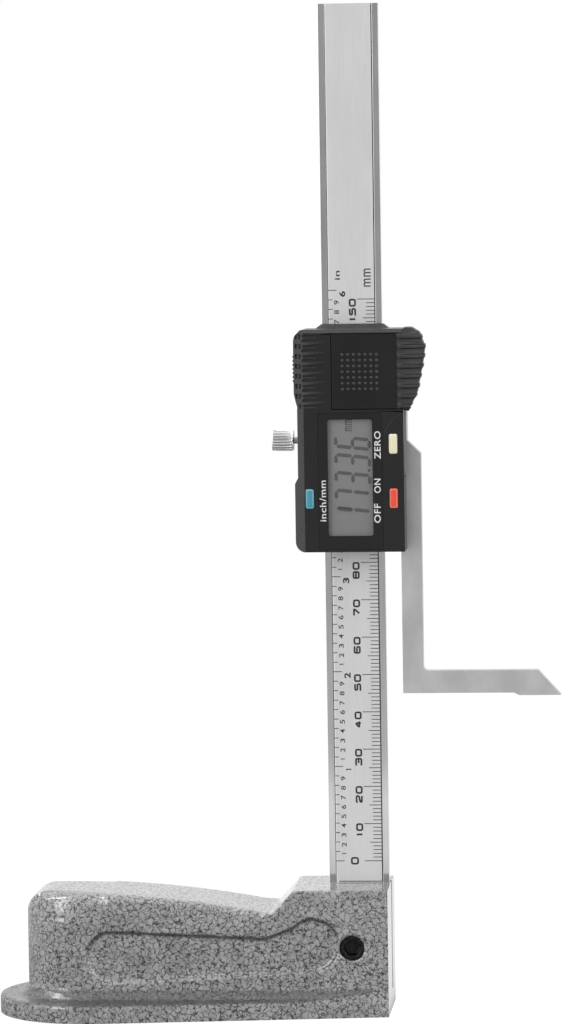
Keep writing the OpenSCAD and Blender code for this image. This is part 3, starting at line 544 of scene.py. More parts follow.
def hand_over(piece, finish, body, replaces=(), flat=True, angle=30):
    """Brings a piece down to metres, gives it its finish and lets it ride on its body."""
    only(piece)
    piece.scale = (MM,) * 3
    bpy.ops.object.transform_apply()
    bpy.ops.object.shade_smooth_by_angle(angle=math.radians(angle))
    if flat:
        modify(piece, "WEIGHTED_NORMAL", keep_sharp=True)
    if not piece.data.materials:
        piece.data.materials.append(finish)
    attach(piece, body)
    if replaces:
        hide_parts(*replaces)
    piece.data.calc_loop_triangles()
    print(piece.name, len(piece.data.loop_triangles), "triangles")


print("a piece can be handed over")

# %% [markdown]
# ## The base casting
# A sand casting has no sharp edge: its corners are rounded by the mould and then by thick paint.
# Afterwards the right end, the underside, the beam's slot and the clamp screw's hole are machined, and
# those edges are crisp. The piece is made in that order too. The slot and hole are filled and the solid
# reaches past its machined faces, a voxel remesh and smoothing round everything at once, and then the
# bisect and boolean tools cut the machined faces sharp.

# %% Cast it round
END_X = 52.6
HALF_BODY = 14.5
BLOCK_TOP = 33.7
VOXEL = 0.45
SPARE = 1.5

casting = copy_of("base_casting", "casting")
shift(casting, lambda v: v.co.z < HAIR, (0, 0, -SPARE))
casting = join([
    casting,
    block("slot_filling", (36, -13.3, -SPARE), (END_X, 13.3, BLOCK_TOP)),
    block("end_filling", (46.5, -HALF_BODY, -SPARE), (END_X + 4, HALF_BODY, BLOCK_TOP)),
])
modify(casting, "REMESH", mode="VOXEL", voxel_size=VOXEL)


def back_rims(vertex):
    """The two long rims of the sloping back."""
    x, y, z = vertex.co
    return z > 25.2 - 0.045 * x and x < 20 and abs(y) > 9.5


def shoulders(vertex):
    """The left end of those rims, where the back is widest."""
    x, y, z = vertex.co
    return z > 25.5 and -45 < x < -22 and abs(y) > 8.5


for test, times in ((every, 3), (back_rims, 60), (shoulders, 140)):
    edit(casting, "VERT", test, bpy.ops.mesh.vertices_smooth, factor=0.5, repeat=times)
print("casting after smoothing:", len(casting.data.vertices), "vertices")

# %% Machine the end, the underside, the slot and the hole
SLOT_LOW = (36.15, 1.45, 5.0)
SLOT_HIGH = (60, 5.05, 40)
HOLE = (43.0, 18.3)
HOLE_RADIUS = 3.33
HOLE_DEPTH = 20

for point, outwards in (((END_X, 0, 0), (1, 0, 0)), ((0, 0, 0), (0, 0, -1))):
    cut_off(casting, point, outwards)
slot_cutter = block("slot_cutter", SLOT_LOW, SLOT_HIGH)
hole_cutter = add("hole_cutter", bpy.ops.mesh.primitive_cylinder_add, vertices=64, radius=HOLE_RADIUS,
                  depth=HOLE_DEPTH, location=(HOLE[0], SLOT_LOW[1] + 0.05 - HOLE_DEPTH / 2, HOLE[1]),
                  rotation=TO_FRONT)
cut(casting, slot_cutter)
cut(casting, hole_cutter)


def machined(place):
    """True on the end, the underside and the walls of the slot."""
    in_slot = SLOT_LOW[1] - HAIR < place.y < SLOT_HIGH[1] + HAIR and place.z > SLOT_LOW[2] - 0.1
    return place.x > END_X - HAIR or place.z < HAIR or (in_slot and place.x > SLOT_LOW[0] - HAIR)


dress(casting, hammer_paint, machined_iron)
for face in casting.data.polygons:
    face.material_index = int(machined(face.center))

# %% [markdown]
# Edges that face down and the ledge of the foot get painted shade: the paint's cells turn dark there
# and its coat weakens. Each vertex keeps its share of painted shade in an attribute that the paint reads.

# %% Painted shade on edges and ledge
SHADE_UNDER_EDGES = 0.8
SHADE_ON_LEDGE = 0.85


def ramp(value, low, high):
    """0 below low, 1 above high, and a straight ramp between them."""
    return min(1.0, max(0.0, (value - low) / (high - low)))


def thin_paint(vertex):
    """How much painted shade a vertex gets."""
    place, normal = vertex.co, vertex.normal
    if place.z > 9 and abs(place.y) > 11:
        return SHADE_UNDER_EDGES * ramp(-normal.z, 0.12, 0.5)
    if 4 < place.z < 8.4:
        return SHADE_ON_LEDGE * ramp(normal.z, 0.2, 0.5)
    return 0.0


shade = casting.data.attributes.new("thin_paint", "FLOAT", "POINT")
shade.data.foreach_set("value", [thin_paint(vertex) for vertex in casting.data.vertices])
hand_over(casting, hammer_paint, "base", ["base_casting"], flat=False, angle=35)

# %% [markdown]
# ## Beam, scriber frame and small steel
# These are ground or turned steel parts with plain forms, so a copy of each CAD solid with its edges
# broken is the real thing: by about a tenth of a millimetre, and by four tenths on the round rims of
# the set screw and the cell. The thin bright line along such an edge tells the eye that it is steel.

# %% Steel pieces with broken edges
STEEL_PIECES = (
    ("beam", "steel_beam", 0.12, beam_steel, "base", "beam_steel"),
    ("slider_frame", "scriber_frame", 0.10, frame_steel, "slider", "frame_steel"),
    ("beam_set_screw", "clamp_screw", 0.42, black_steel, "base", "black_steel"),
    ("lock_screw", "lock_knob", 0.10, lock_chrome, "locking_screw", "lock_chrome"),
    ("housing_screws", "back_screws", 0.06, screw_steel, "slider", "screw_steel"),
    ("gib_screws", "gib_grub_screws", 0.05, black_steel, "slider", "black_steel"),
    ("coin_cell", "button_cell", 0.40, cell_steel, "slider", "cell_steel"),
)
for node, name, width, finish, body, slot in STEEL_PIECES:
    piece = copy_of(node, name)
    soften(piece, width)
    hand_over(piece, finish, body, [node])

# %% [markdown]
# ## Housing, cover and buttons
# Moulded plastic has small radii everywhere, because a sharp inner corner in a mould tears. The
# display's holder, deep inside, is the plainest: its edges only get one step more than the steel's.

# %% The display's holder
holder = copy_of("lcd_holder", "display_holder")
soften(holder, 0.10, 3)
hand_over(holder, white_plastic, "slider", ["lcd_holder"])

# %% [markdown]
# A button's cap starts as a cube. Its four long corners get a wide round and its front rim a smaller
# one, and the rim gets a lighter colour as a painted highlight. The CAD stem stays behind it.

# %% Buttons
BUTTON_FRONT = -8.35
CAP_BACK = -7.85
CAP_WIDE = 2.2
CAP_HIGH = 5.2
CAP_CORNER = 0.55
CAP_RIM = 0.34
BUTTONS = (
    ("button_inch_mm", "blue_button", 33.1, 137.2, button_blue, blue_painted_highlight, "inch_mm_button", "button_blue"),
    ("button_zero", "yellow_button", 55.3, 151.6, button_yellow, yellow_painted_highlight, "zero_button", "button_yellow"),
    ("button_on_off", "red_button", 55.3, 137.2, button_red, red_painted_highlight, "on_off_button", "button_red"),
)


def button(node, name, x, z, finish, highlight_finish, body, slot):
    cap = block(name, (x - CAP_WIDE / 2, BUTTON_FRONT, z - CAP_HIGH / 2),
                (x + CAP_WIDE / 2, CAP_BACK, z + CAP_HIGH / 2))
    bevel(cap, lambda e: run_back(cap, e) > 0.1, CAP_CORNER, 5)
    bevel(cap, lambda e: all(end.y < BUTTON_FRONT + HAIR for end in ends(cap, e)), CAP_RIM, 3)
    stem = copy_of(node, "stem")
    cut_off(stem, (0, CAP_BACK, 0), (0, -1, 0))
    cap = join([cap, stem])
    dress(cap, finish, highlight_finish)
    for face in cap.data.polygons:
        # The rim faces take the paler colour as painted highlight.
        face.material_index = int(face.center.y < BUTTON_FRONT + CAP_RIM and abs(face.normal.y) < 0.98)
    hand_over(cap, finish, body, [node])


for values in BUTTONS:
    button(*values)

# %% [markdown]
# The housing's top left corner is a wide round, so the two edges of its slant are bevelled far more
# than the rest, and the lip on its roof leans back.

# %% The display housing
HOUSE_LEFT = 29.0
HOUSE_TOP = 181.9
HOUSE_FRONT = -8.0
CORNER_ROUND = 1.3
LIP_FROM = 182.9
LIP_LEAN = 1.6
housing = copy_of("housing_shell", "housing")


def corner_edge(edge):
    """Edges from front to back at the two ends of the top left slant."""
    a, b = ends(housing, edge)
    level = abs(a.x - b.x) < HAIR and abs(a.z - b.z) < HAIR
    at_end = abs(a.x - HOUSE_LEFT) < HAIR or abs(a.z - HOUSE_TOP) < HAIR
    return level and a.z > 175 and a.x < 33 and at_end


print("corner edges:", bevel(housing, corner_edge, CORNER_ROUND, 5))
shift(housing, lambda v: v.co.z > LIP_FROM and v.co.y < -2, (0, LIP_LEAN, 0))
soften(housing, 0.12)

# %% [markdown]
# Fine marks are cut into the housing's face: an arc round the ZERO button, and beside the cover a
# column of notches with flat V grooves between them, which carry on the lines of the grip. A notch and
# a groove are each made once and repeated. The corner, the roof and the grooves get a painted highlight.

# %% Cut the arc
ARC_CENTRE = (60.5, 152.5)
ARC_RADIUS = 7.7
ARC_HALF = 0.2
ARC_LOW = 153.6
arc = add("arc", bpy.ops.mesh.primitive_torus_add, major_radius=ARC_RADIUS, minor_radius=ARC_HALF,
          major_segments=128, minor_segments=8, location=(ARC_CENTRE[0], HOUSE_FRONT, ARC_CENTRE[1]),
          rotation=TO_FRONT)
cut_off(arc, (0, 0, ARC_LOW), (0, 0, -1))
cut(housing, arc)

# %% Cut the notches and grooves
NOTCH_TOP = 180.05
NOTCH_PITCH = 2.63
NOTCHES = 8
NOTCH_HALF = 0.58
NOTCH_LEFT = 29.9
NOTCH_RIGHT = 31.05
NOTCH_FLOOR = -6.3
GROOVE_RADIUS = 1.05
GROOVE_LONG = 7.0
GROOVE_TOP = NOTCH_TOP - NOTCH_PITCH / 2 - 0.1
notch = block("notch", (NOTCH_LEFT, HOUSE_FRONT - 1, NOTCH_TOP - NOTCH_HALF),
              (NOTCH_RIGHT, NOTCH_FLOOR, NOTCH_TOP + NOTCH_HALF))
groove = add("groove", bpy.ops.mesh.primitive_cone_add, (1, 0.4, 1), vertices=4, radius1=GROOVE_RADIUS,
             radius2=0, depth=GROOVE_LONG, rotation=(0, math.pi / 2, 0),
             location=(34.6, HOUSE_FRONT, GROOVE_TOP))
for cutter, count in ((notch, NOTCHES), (groove, NOTCHES - 1)):
    repeat(cutter, count, (0, 0, -NOTCH_PITCH))
    cut(housing, cutter)


def polished(place, normal):
    """True on the sides of the grooves that face up, the rounded corner and the roof: painted highlight."""
    in_grooves = 31 < place.x < 39 and place.z > 160 and place.y < -7.5
    groove_side = in_grooves and normal.z > 0.2 and normal.y < -0.2
    corner = place.x < 33 and normal.x < -0.3 and normal.y < -0.3
    roof = place.z > HOUSE_TOP - 0.5 and normal.z > 0.5
    return groove_side or corner or roof


dress(housing, housing_plastic, painted_highlight_plastic)
for face in housing.data.polygons:
    face.material_index = int(polished(face.center, face.normal))
hand_over(housing, housing_plastic, "slider", ["housing_shell"])

# %% [markdown]
# Seven short rods lie half sunk in the housing's left wall, as a grip for the finger that pushes it.

# %% Side teeth
TOOTH_PITCH = 1.07
TOOTH_FIRST = 168.2
TOOTH_COUNT = 7
TOOTH_RADIUS = 0.36
TOOTH_LONG = 4.0
teeth = add("side_teeth", bpy.ops.mesh.primitive_cylinder_add, vertices=16, radius=TOOTH_RADIUS,
            depth=TOOTH_LONG, location=(29.05, -2.6, TOOTH_FIRST), rotation=TO_FRONT)
soften(teeth, 0.12, 2, 60)
repeat(teeth, TOOTH_COUNT, (0, 0, TOOTH_PITCH))
hand_over(teeth, housing_plastic, "slider")

# %% [markdown]
# The battery cover carries the thumb grip, which is turned back a little from a crease. The cover's
# left, lower and upper edges draw in by a tenth of a millimetre, so that a fine line shows round it.

# %% The battery cover
CREASE = 56.6
CREASE_DEPTH = -8.05
GRIP_TURN = math.radians(9)
GRIP_CORNER = (58.15, 180.3)
CORNER_LIFT = 0.6
COVER_LEFT = 39.2
COVER_LOW = 160.75
COVER_HIGH = 180.75


def cover_copy(name):
    """A copy of the cover, its grip turned back from the crease and raised at the top corner."""
    piece = copy_of("battery_cover", name)
    edit(piece, "VERT", every, bpy.ops.mesh.bisect, plane_co=(CREASE, 0, 0), plane_no=(1, 0, 0))
    edit(piece, "VERT", lambda v: v.co.x > CREASE + 0.1 and v.co.y < -7.5, bpy.ops.transform.rotate,
         value=GRIP_TURN, orient_axis="Z", center_override=(CREASE, CREASE_DEPTH, 0))
    shift(piece, lambda v: v.co.x > GRIP_CORNER[0] and v.co.z > GRIP_CORNER[1], (0, 0, CORNER_LIFT))
    return piece


cover = cover_copy("cover")
for axis, place, push in ((0, COVER_LEFT, 0.12), (2, COVER_LOW, 0.10), (2, COVER_HIGH, -0.10)):
    shift(cover, lambda v: abs(v.co[axis] - place) < 0.02 and v.co.y < -6.95,
          [push if i == axis else 0 for i in range(3)])
soften(cover, 0.16)
print("cover:", len(cover.data.polygons), "faces")

# %% [markdown]
# The grip's ribs run round its edge and stand out there as a row of bumps. Each bump is a slice of the
# cover itself, cut out with bisects, pushed outwards and rounded, so that it follows the grip's
# outline without a sum.

# %% The ribs of the grip
RIB_TOP = 180.35
RIB_PITCH = 2.62
RIB_WIDTH = 1.1
RIB_COUNT = 8
RIB_LEFT = 57.4
RIB_END = 58.5
RIB_OUT = 0.3
OVERLAP = 0.03


def slice_of_cover(low, high):
    """The part of the cover between two heights and right of the ribs' left end."""
    piece = cover_copy("rib")
    for point, outwards in (((0, 0, low), (0, 0, -1)), ((0, 0, high), (0, 0, 1)),
                            ((RIB_LEFT, 0, 0), (-1, 0, 0))):
        cut_off(piece, point, outwards)
    return piece


ribs = []
for i in range(RIB_COUNT):
    top = RIB_TOP - i * RIB_PITCH
    rib = slice_of_cover(top - RIB_WIDTH - OVERLAP, top + OVERLAP)
    shift(rib, lambda v: v.co.x > RIB_END, (RIB_OUT, 0, 0))
    shift(rib, every, (0, -0.05, 0))
    soften(rib, 0.3, 3)
    ribs.append(rib)
cover = join([cover] + ribs)
dress(cover, cover_plastic, grip_plastic, painted_highlight_plastic)
# Grip faces take the grip plastic, paler to the right as painted light; those that point up take the paler
# plastic as painted highlight.
for face in cover.data.polygons:
    if face.center.x > CREASE and face.normal.y < -0.2:
        face.material_index = 2 if face.normal.z > 0.3 else 1
hand_over(cover, cover_plastic, "cover", ["battery_cover"])

# %% [markdown]
# ## Finishes on the CAD's own solids
# Inside pieces and flat layers have the right shape already. They keep their CAD solids and get their
# finishes through their material slots.

# %% Dress the other nodes
CAD_FINISHES = {
    "scale_board": circuit_strip, "beam_clamp_pad": brass,
    "gib_strip": brass, "lock_pad": brass, "front_label": label_film, "window_lens": window_acrylic,
    "lcd_glass": display_glass, "zebra_strip": zebra_rubber, "circuit_board": board_laminate,
    "processor_cap": chip_resin, "keypad_pads": keypad_rubber,
    "battery_contact_plus": brass, "battery_contact_minus": brass,
}
for node, finish in CAD_FINISHES.items():
    dress(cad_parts[node], finish)
print("dressed", len(CAD_FINISHES), "nodes")

# %% [markdown]
# ## The scale
# The scale is printed: a line each millimetre on the right, longer at 5 and 10, and a line each tenth
# of an inch on the left. A film of ink has a thickness, so each line is a thin plate that sits on the
# foil. One plate is made and repeated with an array.

# %% The foil
foil = copy_of("scale_foil", "printed_foil")
shift(foil, lambda v: v.co.z > 200, (0, 0, 0.42))
soften(foil, 0.04)
hand_over(foil, scale_foil, "base", ["scale_foil"])

# %% Rule the scale
FOIL_FRONT = 1.55
INK = 0.02
ZERO_Z = 39.45
FOIL_LEFT = 38.05
FOIL_RIGHT = 50.35
INCH = 25.4
LINE = 0.20
SHADOW_FOOT = 33.85
SHADOW_TOP = 267.4


def ink_plate(name, x0, x1, z0, z1):
    """A dark plate, a film thick, on the foil, for printed ink and for painted shadow."""
    piece = block(name, (x0, FOIL_FRONT - INK, z0), (x1, FOIL_FRONT + INK, z1))
    soften(piece, 0.008, 1)
    return piece


def ruling(name, x0, x1, first, step, count, group=1, group_step=0.0):
    """Equal lines from x0 to x1, the first one that far above zero; groups of them repeat."""
    z = ZERO_Z + first
    piece = ink_plate(name, x0, x1, z - LINE / 2, z + LINE / 2)
    if group > 1:
        repeat(piece, group, (0, 0, group_step))
    repeat(piece, count, (0, 0, step))
    return piece


mm_lines_and_shadows = join([
    ruling("millimetre_lines", FOIL_RIGHT - 2.35, FOIL_RIGHT, 1, 5, 30, 4, 1),
    ruling("five_lines", FOIL_RIGHT - 3.2, FOIL_RIGHT, 5, 10, 15),
    ruling("ten_lines", FOIL_RIGHT - 4.7, FOIL_RIGHT, 0, 10, 16),
    # Two dark plates are painted shadow, not print: one along the foil's right edge, where the gap beside it
    # lies in shade, and one across its foot, where the beam enters the casting.
    ink_plate("gap_shadow_strip", 50.19, FOIL_RIGHT, SHADOW_FOOT, SHADOW_TOP),
    ink_plate("foot_shadow_strip", 38.7, FOIL_RIGHT, SHADOW_FOOT, 34.07),
])
inch_lines = join([
    ruling("inch_lines", FOIL_LEFT, FOIL_LEFT + 1.1, INCH / 10, INCH, 6, 9, INCH / 10),
    ruling("whole_inch_lines", FOIL_LEFT, FOIL_LEFT + 2.2, 0, INCH, 7),
])
hand_over(mm_lines_and_shadows, scale_ink_and_shadow, "base", flat=False)
hand_over(inch_lines, scale_ink_and_shadow, "base", flat=False)

# %% [markdown]
# The numbers are wide and square, like those on most steel rules, and they read upwards. Each digit is
# a path of straight strokes with rounded corners. A curve with a bevel gives the stroke its width, and
# flattening it makes it a film of ink.

# %% Stroke digits
STROKES = {
    "0": [[(0, 0), (1, 0), (1, 1), (0, 1), (0, 0)]],
    "1": [[(0.2, 0.8), (0.5, 1), (0.5, 0)]],
    "2": [[(0, 0.78), (0, 1), (1, 1), (1, 0.55), (0, 0.3), (0, 0), (1, 0)]],
    "3": [[(0, 0.82), (0, 1), (1, 1), (1, 0), (0, 0), (0, 0.18)], [(0.3, 0.52), (1, 0.52)]],
    "4": [[(0.72, 0), (0.72, 1), (0, 0.3), (1, 0.3)]],
    "5": [[(1, 1), (0.04, 1), (0.04, 0.56), (1, 0.56), (1, 0), (0, 0), (0, 0.14)]],
    "6": [[(1, 0.84), (1, 1), (0, 1), (0, 0), (1, 0), (1, 0.55), (0, 0.55)]],
    "7": [[(0, 1), (1, 1), (1, 0.86), (0.35, 0)]],
    "8": [[(0, 0), (1, 0), (1, 1), (0, 1), (0, 0)], [(0, 0.52), (1, 0.52)]],
    "9": [[(0, 0.16), (0, 0), (1, 0), (1, 1), (0, 1), (0, 0.45), (1, 0.45)]],
}


def rounded(path, width, height, radius):
    """The path's points at real size, with an arc of four points at each inner corner."""
    points = [Vector((x * width, y * height, 0)) for x, y in path]
    closed = points[0] == points[-1]
    if closed:
        points = points[:-1]
    made = []
    for i, point in enumerate(points):
        if not closed and i in (0, len(points) - 1):
            made.append(point)
            continue
        before, after = points[i - 1] - point, points[(i + 1) % len(points)] - point
        reach = min(radius, before.length / 2, after.length / 2)
        start, end = point + before.normalized() * reach, point + after.normalized() * reach
        for t in (0, 0.3, 0.7, 1):
            made.append(start * (1 - t) ** 2 + point * 2 * t * (1 - t) + end * t ** 2)
    return made, closed


print("strokes drawn for", len(STROKES), "digits")

# %% Bend a stroke into a digit
def stroke_digit(digit, width, height, stroke):
    """One digit, flat, with its lower left corner at the origin of its own plane."""
    curve = bpy.data.curves.new("digit_" + digit, "CURVE")
    curve.dimensions = "3D"
    curve.bevel_depth = stroke / 2
    curve.bevel_resolution = 0
    curve.use_fill_caps = True
    inset = stroke / 2
    for path in STROKES[digit]:
        points, closed = rounded(path, width - stroke, height - stroke, height * 0.2)
        spline = curve.splines.new("POLY")
        spline.points.add(len(points) - 1)
        for target, point in zip(spline.points, points):
            target.co = (point.x + inset, point.y + inset, 0, 1)
        spline.use_cyclic_u = closed
    piece = bpy.data.objects.new("digit_" + digit, curve)
    scene.collection.objects.link(piece)
    only(piece)
    bpy.ops.object.convert(target="MESH")
    piece.scale = (1, 1, 2 * INK / stroke)
    bpy.ops.object.transform_apply()
    return piece


def stand_up(piece, x, y, z):
    """Turns a flat piece to face the front and read upwards, with its origin at a point."""
    only(piece)
    turn = Matrix.Rotation(math.pi / 2, 4, "X") @ Matrix.Rotation(math.pi / 2, 4, "Z")
    piece.matrix_world = Matrix.Translation((x, y, z)) @ turn
    bpy.ops.object.transform_apply()
    return piece


STROKE = 0.48
NARROW_ONE = 0.55


def number(text, x, top, width, height, gap):
    """A number that reads upwards, its letters' feet at x and its end at the height top."""
    widths = [width * (NARROW_ONE if digit == "1" else 1) for digit in text]
    start = top - sum(widths) - gap * (len(text) - 1)
    made = []
    for digit, wide in zip(text, widths):
        flat_digit = stroke_digit(digit, wide, height, STROKE)
        made.append(stand_up(flat_digit, x, FOIL_FRONT - INK / 2, start))
        start += wide + gap
    return made


NUMBER_X = 45.35
numbers = number("0", 44.1, ZERO_Z + 1.02, width=2.04, height=2.15, gap=0.35)
for value in range(10, 160, 10):
    numbers += number(str(value), NUMBER_X, ZERO_Z + value + 0.1, width=2.1, height=1.9, gap=0.32)
mm_numbers = join(numbers, "millimetre_numbers")
hand_over(mm_numbers, scale_ink_and_shadow, "base", flat=False)

# %% [markdown]
# ## Words
# The unit signs on the beam and the words beside the buttons are plain sans-serif lettering. A text
# object becomes a mesh, and is then stretched to the length and height measured on the real print.

# %% Lettering
def words(text, name, x_top, x_foot, z_start, z_end, front, bold):
    """Words that read upwards, between two places in x and two heights, on a face at front."""
    bpy.ops.object.select_all(action="DESELECT")
    bpy.ops.object.text_add()
    piece = bpy.context.object
    piece.name = name
    piece.data.body = text
    piece.data.extrude = 0.05
    piece.data.offset = bold
    piece.data.resolution_u = 4
    piece.data.space_character = 1.08
    bpy.ops.object.convert(target="MESH")
    low = [min(v.co[i] for v in piece.data.vertices) for i in range(3)]
    high = [max(v.co[i] for v in piece.data.vertices) for i in range(3)]
    sizes = (z_end - z_start, x_foot - x_top, 2 * INK)
    piece.scale = [size / (b - a) for size, a, b in zip(sizes, low, high)]
    piece.location = [-a * s for a, s in zip(low, piece.scale)]
    bpy.ops.object.transform_apply()
    edit(piece, "VERT", every, bpy.ops.mesh.remove_doubles, threshold=0.0005)
    return stand_up(piece, x_foot, front + INK, z_start)


print("lettering ready")

# %% Inch digits
THIN_ONE = 0.7


def inch_digit(digit, foot, top, wide, high, bold):
    """A digit in plain lettering, whose foot is at x and whose end is at the height top."""
    if digit == "1":
        thin_one = stroke_digit(digit, wide * THIN_ONE, high, high * 0.17)
        return stand_up(thin_one, foot, FOIL_FRONT - INK / 2, top - wide * THIN_ONE)
    return words(digit, "inch_digit", foot - high, foot, top - wide, top, FOIL_FRONT, bold)


small = []
for tenth in range(1, 60):
    if tenth % 10:
        tenth_top = ZERO_Z + tenth * INCH / 10 - 0.15
        small.append(inch_digit(str(tenth % 10), 40.85, tenth_top, 1.1, 1.3, 0.01))
for whole in range(1, 7):
    small.append(inch_digit(str(whole), 42.55, ZERO_Z + whole * INCH - 0.25, 1.5, 1.68, 0.03))
inch_numbers = join(small, "inch_numbers")
hand_over(inch_numbers, scale_ink_and_shadow, "base", flat=False)

# %% Signs and button words
LABEL_FRONT = -8.0
signs = join([words("in", "unit_signs", 39.8, 41.15, 194.6, 197.0, FOIL_FRONT, 0.012),
              words("mm", "mm_sign", 47.45, 49.35, 192.7, 197.5, FOIL_FRONT, 0.005)])
hand_over(signs, scale_ink_and_shadow, "base", flat=False)
labels = join([
    words("inch/mm", "button_words", 35.72, 37.42, 131.2, 142.05, LABEL_FRONT, 0.010),
    words("ZERO", "zero_word", 50.32, 52.02, 147.6, 154.95, LABEL_FRONT, 0.014),
    words("ON", "on_word", 50.17, 51.9, 138.6, 142.4, LABEL_FRONT, 0.014),
    words("OFF", "off_word", 50.08, 51.82, 130.7, 135.8, LABEL_FRONT, 0.014),
])
hand_over(labels, label_ink, "slider", flat=False)

# %% [markdown]
# ## The reading
# Each digit on the display is made of seven bars with pointed ends. The liquid crystal lies in the
# glass, so the bars stand a hair in front of it. A bar is a cube whose ends are bevelled to a point,
# and the digits lean a little, as they do on most displays.

# %% Display digits
GLASS_FRONT = -6.7
BAR = 1.12
LEAN = 0.11
DIGIT_HIGH = 10.0
DIGIT_WIDE = 3.62
BARS_LIT = {"1": "bc", "7": "abc", "3": "abcdg", "6": "acdefg"}


def bar(x0, x1, z0, z1):
    """A display bar whose two ends come to a point."""
    piece = block("bar", (x0, GLASS_FRONT - INK, z0), (x1, GLASS_FRONT + INK, z1))
    bevel(piece, lambda e: run_back(piece, e) > INK, BAR * 0.42, 1)
    if x1 - x0 > z1 - z0:
        only(piece)
        middle = Matrix.Translation(((x0 + x1) / 2, 0, (z0 + z1) / 2))
        piece.matrix_world = middle @ Matrix.Rotation(math.atan(LEAN), 4, "Y") @ middle.inverted()
        bpy.ops.object.transform_apply()
    return piece


def display_digit(digit, x_top, z_start):
    """One seven-bar digit that reads upwards."""
    half = DIGIT_HIGH / 2
    edge = BAR / 2
    gap = 0.10
    inner = DIGIT_WIDE - BAR
    places = {
        "a": (0, BAR, edge, DIGIT_WIDE - edge), "g": (half - edge, half + edge, edge, DIGIT_WIDE - edge),
        "d": (DIGIT_HIGH - BAR, DIGIT_HIGH, edge, DIGIT_WIDE - edge),
        "f": (edge, half, 0, BAR), "e": (half, DIGIT_HIGH - edge, 0, BAR),
        "b": (edge, half, inner, DIGIT_WIDE), "c": (half, DIGIT_HIGH - edge, inner, DIGIT_WIDE),
    }
    made = []
    for letter in BARS_LIT[digit]:
        x0, x1, z0, z1 = places[letter]
        lift = z_start + LEAN * (DIGIT_HIGH - (x0 + x1) / 2)
        made.append(bar(x_top + x0 + gap, x_top + x1 - gap, z0 + gap + lift, z1 - gap + lift))
    return made


TOP_X = 39.5
reading = []
for digit, z_start in (("1", 130.55), ("7", 135.3), ("3", 140.0), ("3", 144.7), ("6", 149.45)):
    reading += display_digit(digit, TOP_X, z_start)
point = bar(48.3, 49.2, 144.1, 144.9)
unit = words("mm", "display_mm", 42.5, 44.45, 154.9, 158.0, GLASS_FRONT, 0.03)
reading = join(reading + [point, unit], "display_reading")
hand_over(reading, segment_ink, "slider", flat=False)

# %% [markdown]
# ## Grip dots on the cover
# The battery cover has a square of raised dots, seven by seven. One dome is modelled and repeated.

# %% Dots
COVER_FRONT = -8.09
plate = block("dot_plate", (40.7, COVER_FRONT, 163.2), (51.6, -8.0, 176.7))
soften(plate, 0.035, 1)
hand_over(plate, cover_plastic, "cover")
DOT_PITCH = 1.52
DOT_RADIUS = 0.44
DOTS = 7
dots = add("cover_dots", bpy.ops.mesh.primitive_uv_sphere_add, (1, 1, 0.55), segments=10, ring_count=6,
           radius=DOT_RADIUS, location=(42.15, COVER_FRONT, 166.1), rotation=TO_FRONT)
cut_off(dots, (0, COVER_FRONT + 0.02, 0), (0, 1, 0))
repeat(dots, DOTS, (DOT_PITCH, 0, 0))
repeat(dots, DOTS, (0, 0, DOT_PITCH))
# The dots take the paler plastic as painted highlight on their domes.
hand_over(dots, painted_highlight_plastic, "cover", flat=False)

# %% [markdown]
# ## Floor and light
# The gauge stands on a plain pale floor under soft boxes. The background is white because the floor
# and the world look white to the camera and to reflections, and not because more light falls on the
# object: a Light Path node tells those rays apart.
# What steel mirrors is a bright room with a greyer part in its middle, so that faces which look
# different ways differ in tone.

# %% Floor
TABLE_FADE = 0.64
WHITENESS = 0.82


def rays(start):
    """Whether a ray comes from the camera, off a gloss or through glass."""
    kinds = ("Is Camera Ray", "Is Glossy Ray", "Is Transmission Ray")
    return [start.node("LightPath", output=kind) for kind in kinds]


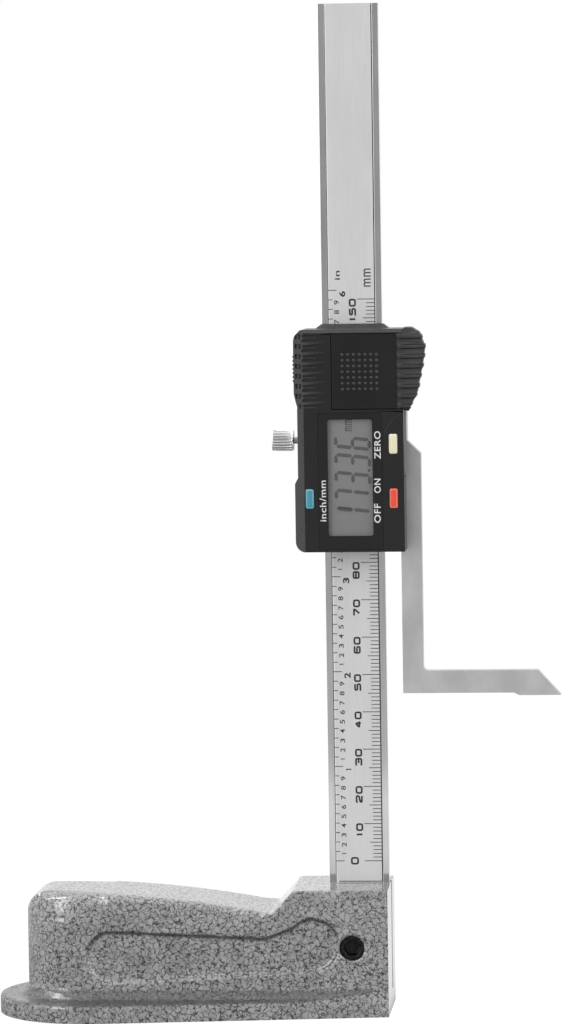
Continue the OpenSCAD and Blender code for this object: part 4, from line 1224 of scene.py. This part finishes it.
def make_floor():
    material = bpy.data.materials.new("pale_floor")
    material.use_nodes = True
    tree = material.node_tree
    tree.nodes.clear()
    start = Wire(tree)
    place = start.node("TexCoord", output=3)
    distance = place.node("VectorMath", {"operation": "LENGTH"}, {0: place}, 1).between(0.10, 0.34)
    beside = place.part(0).between(0.050, 0.057)
    clear = distance.maths("MAXIMUM", beside)
    table_edge = (0 - place.part(1)).between(0.43, 0.50)
    looked_at, reflected, through = rays(start)
    seen = looked_at + reflected * clear * (1 - table_edge * TABLE_FADE) + through
    plain = start.node("BsdfDiffuse", None, {"Color": grey(0.45)})
    white = start.node("Emission", None, {"Color": grey(1.0), "Strength": 1.2})
    mixed = start.node("MixShader", None, {0: seen.maths("MINIMUM", 1.0) * WHITENESS, 1: plain, 2: white})
    output = tree.nodes.new("ShaderNodeOutputMaterial")
    tree.links.new(mixed.socket, output.inputs["Surface"])
    return material


bpy.ops.object.select_all(action="DESELECT")
bpy.ops.mesh.primitive_plane_add(size=60, location=(0, 0, -0.0001))
floor = bpy.context.object
floor.name = "floor"
floor.data.materials.append(make_floor())
print("floor laid")

# %% World
world = bpy.data.worlds.new("studio")
scene.world = world
world.use_nodes = True
tree = world.node_tree
start = Wire(tree)
looked_at, reflected, through = rays(start)
direction = start.node("TexCoord", output=0)
sideways, ahead, above = (direction.part(axis) for axis in (0, 1, 2))
left_wall = 1 - sideways.between(-0.75, -0.15)
room = left_wall.blend(grey(0.46), grey(1.2))
room = sideways.between(0.18, 0.50).blend(room, grey(1.1))
room = ahead.between(-0.35, 0.25).blend(room, grey(1.0))
room = above.between(0.40, 0.85).blend(room, grey(1.2))
seen = looked_at.maths("MAXIMUM", through)
lit = ahead.between(-0.2, 0.3).blend(grey(0.60), grey(0.45))
lit = above.between(0.2, 0.8).blend(lit, grey(0.24))
glow = reflected.blend(lit, room)
glow = seen.blend(glow, grey(1.0))
tree.links.new(glow.socket, tree.nodes["Background"].inputs["Color"])
print("world set")

# %% Lamps
CENTRE = Vector((0.02, 0.0, 0.13))


def soft_box(name, place, size, power):
    """A rectangular lamp that points at the middle of the gauge."""
    lamp = bpy.data.lights.new(name, "AREA")
    lamp.shape = "RECTANGLE"
    lamp.size, lamp.size_y = size
    lamp.energy = power
    made = bpy.data.objects.new(name, lamp)
    scene.collection.objects.link(made)
    made.location = place
    made.rotation_euler = (CENTRE - Vector(place)).to_track_quat("-Z", "Y").to_euler()


soft_box("key", (-0.75, -0.95, 0.62), (0.55, 1.2), 6.5)
soft_box("fill", (1.0, -0.9, 0.45), (0.8, 1.0), 3.5)
soft_box("top", (-0.44, 0.0, 1.12), (0.3, 0.3), 1.6)
soft_box("left", (-0.80, 0.0, 1.02), (0.22, 0.6), 3.0)
soft_box("right", (0.78, -0.1, 1.02), (0.22, 0.6), 3.0)
scene.view_settings.view_transform = "Standard"
print("lamps lit")
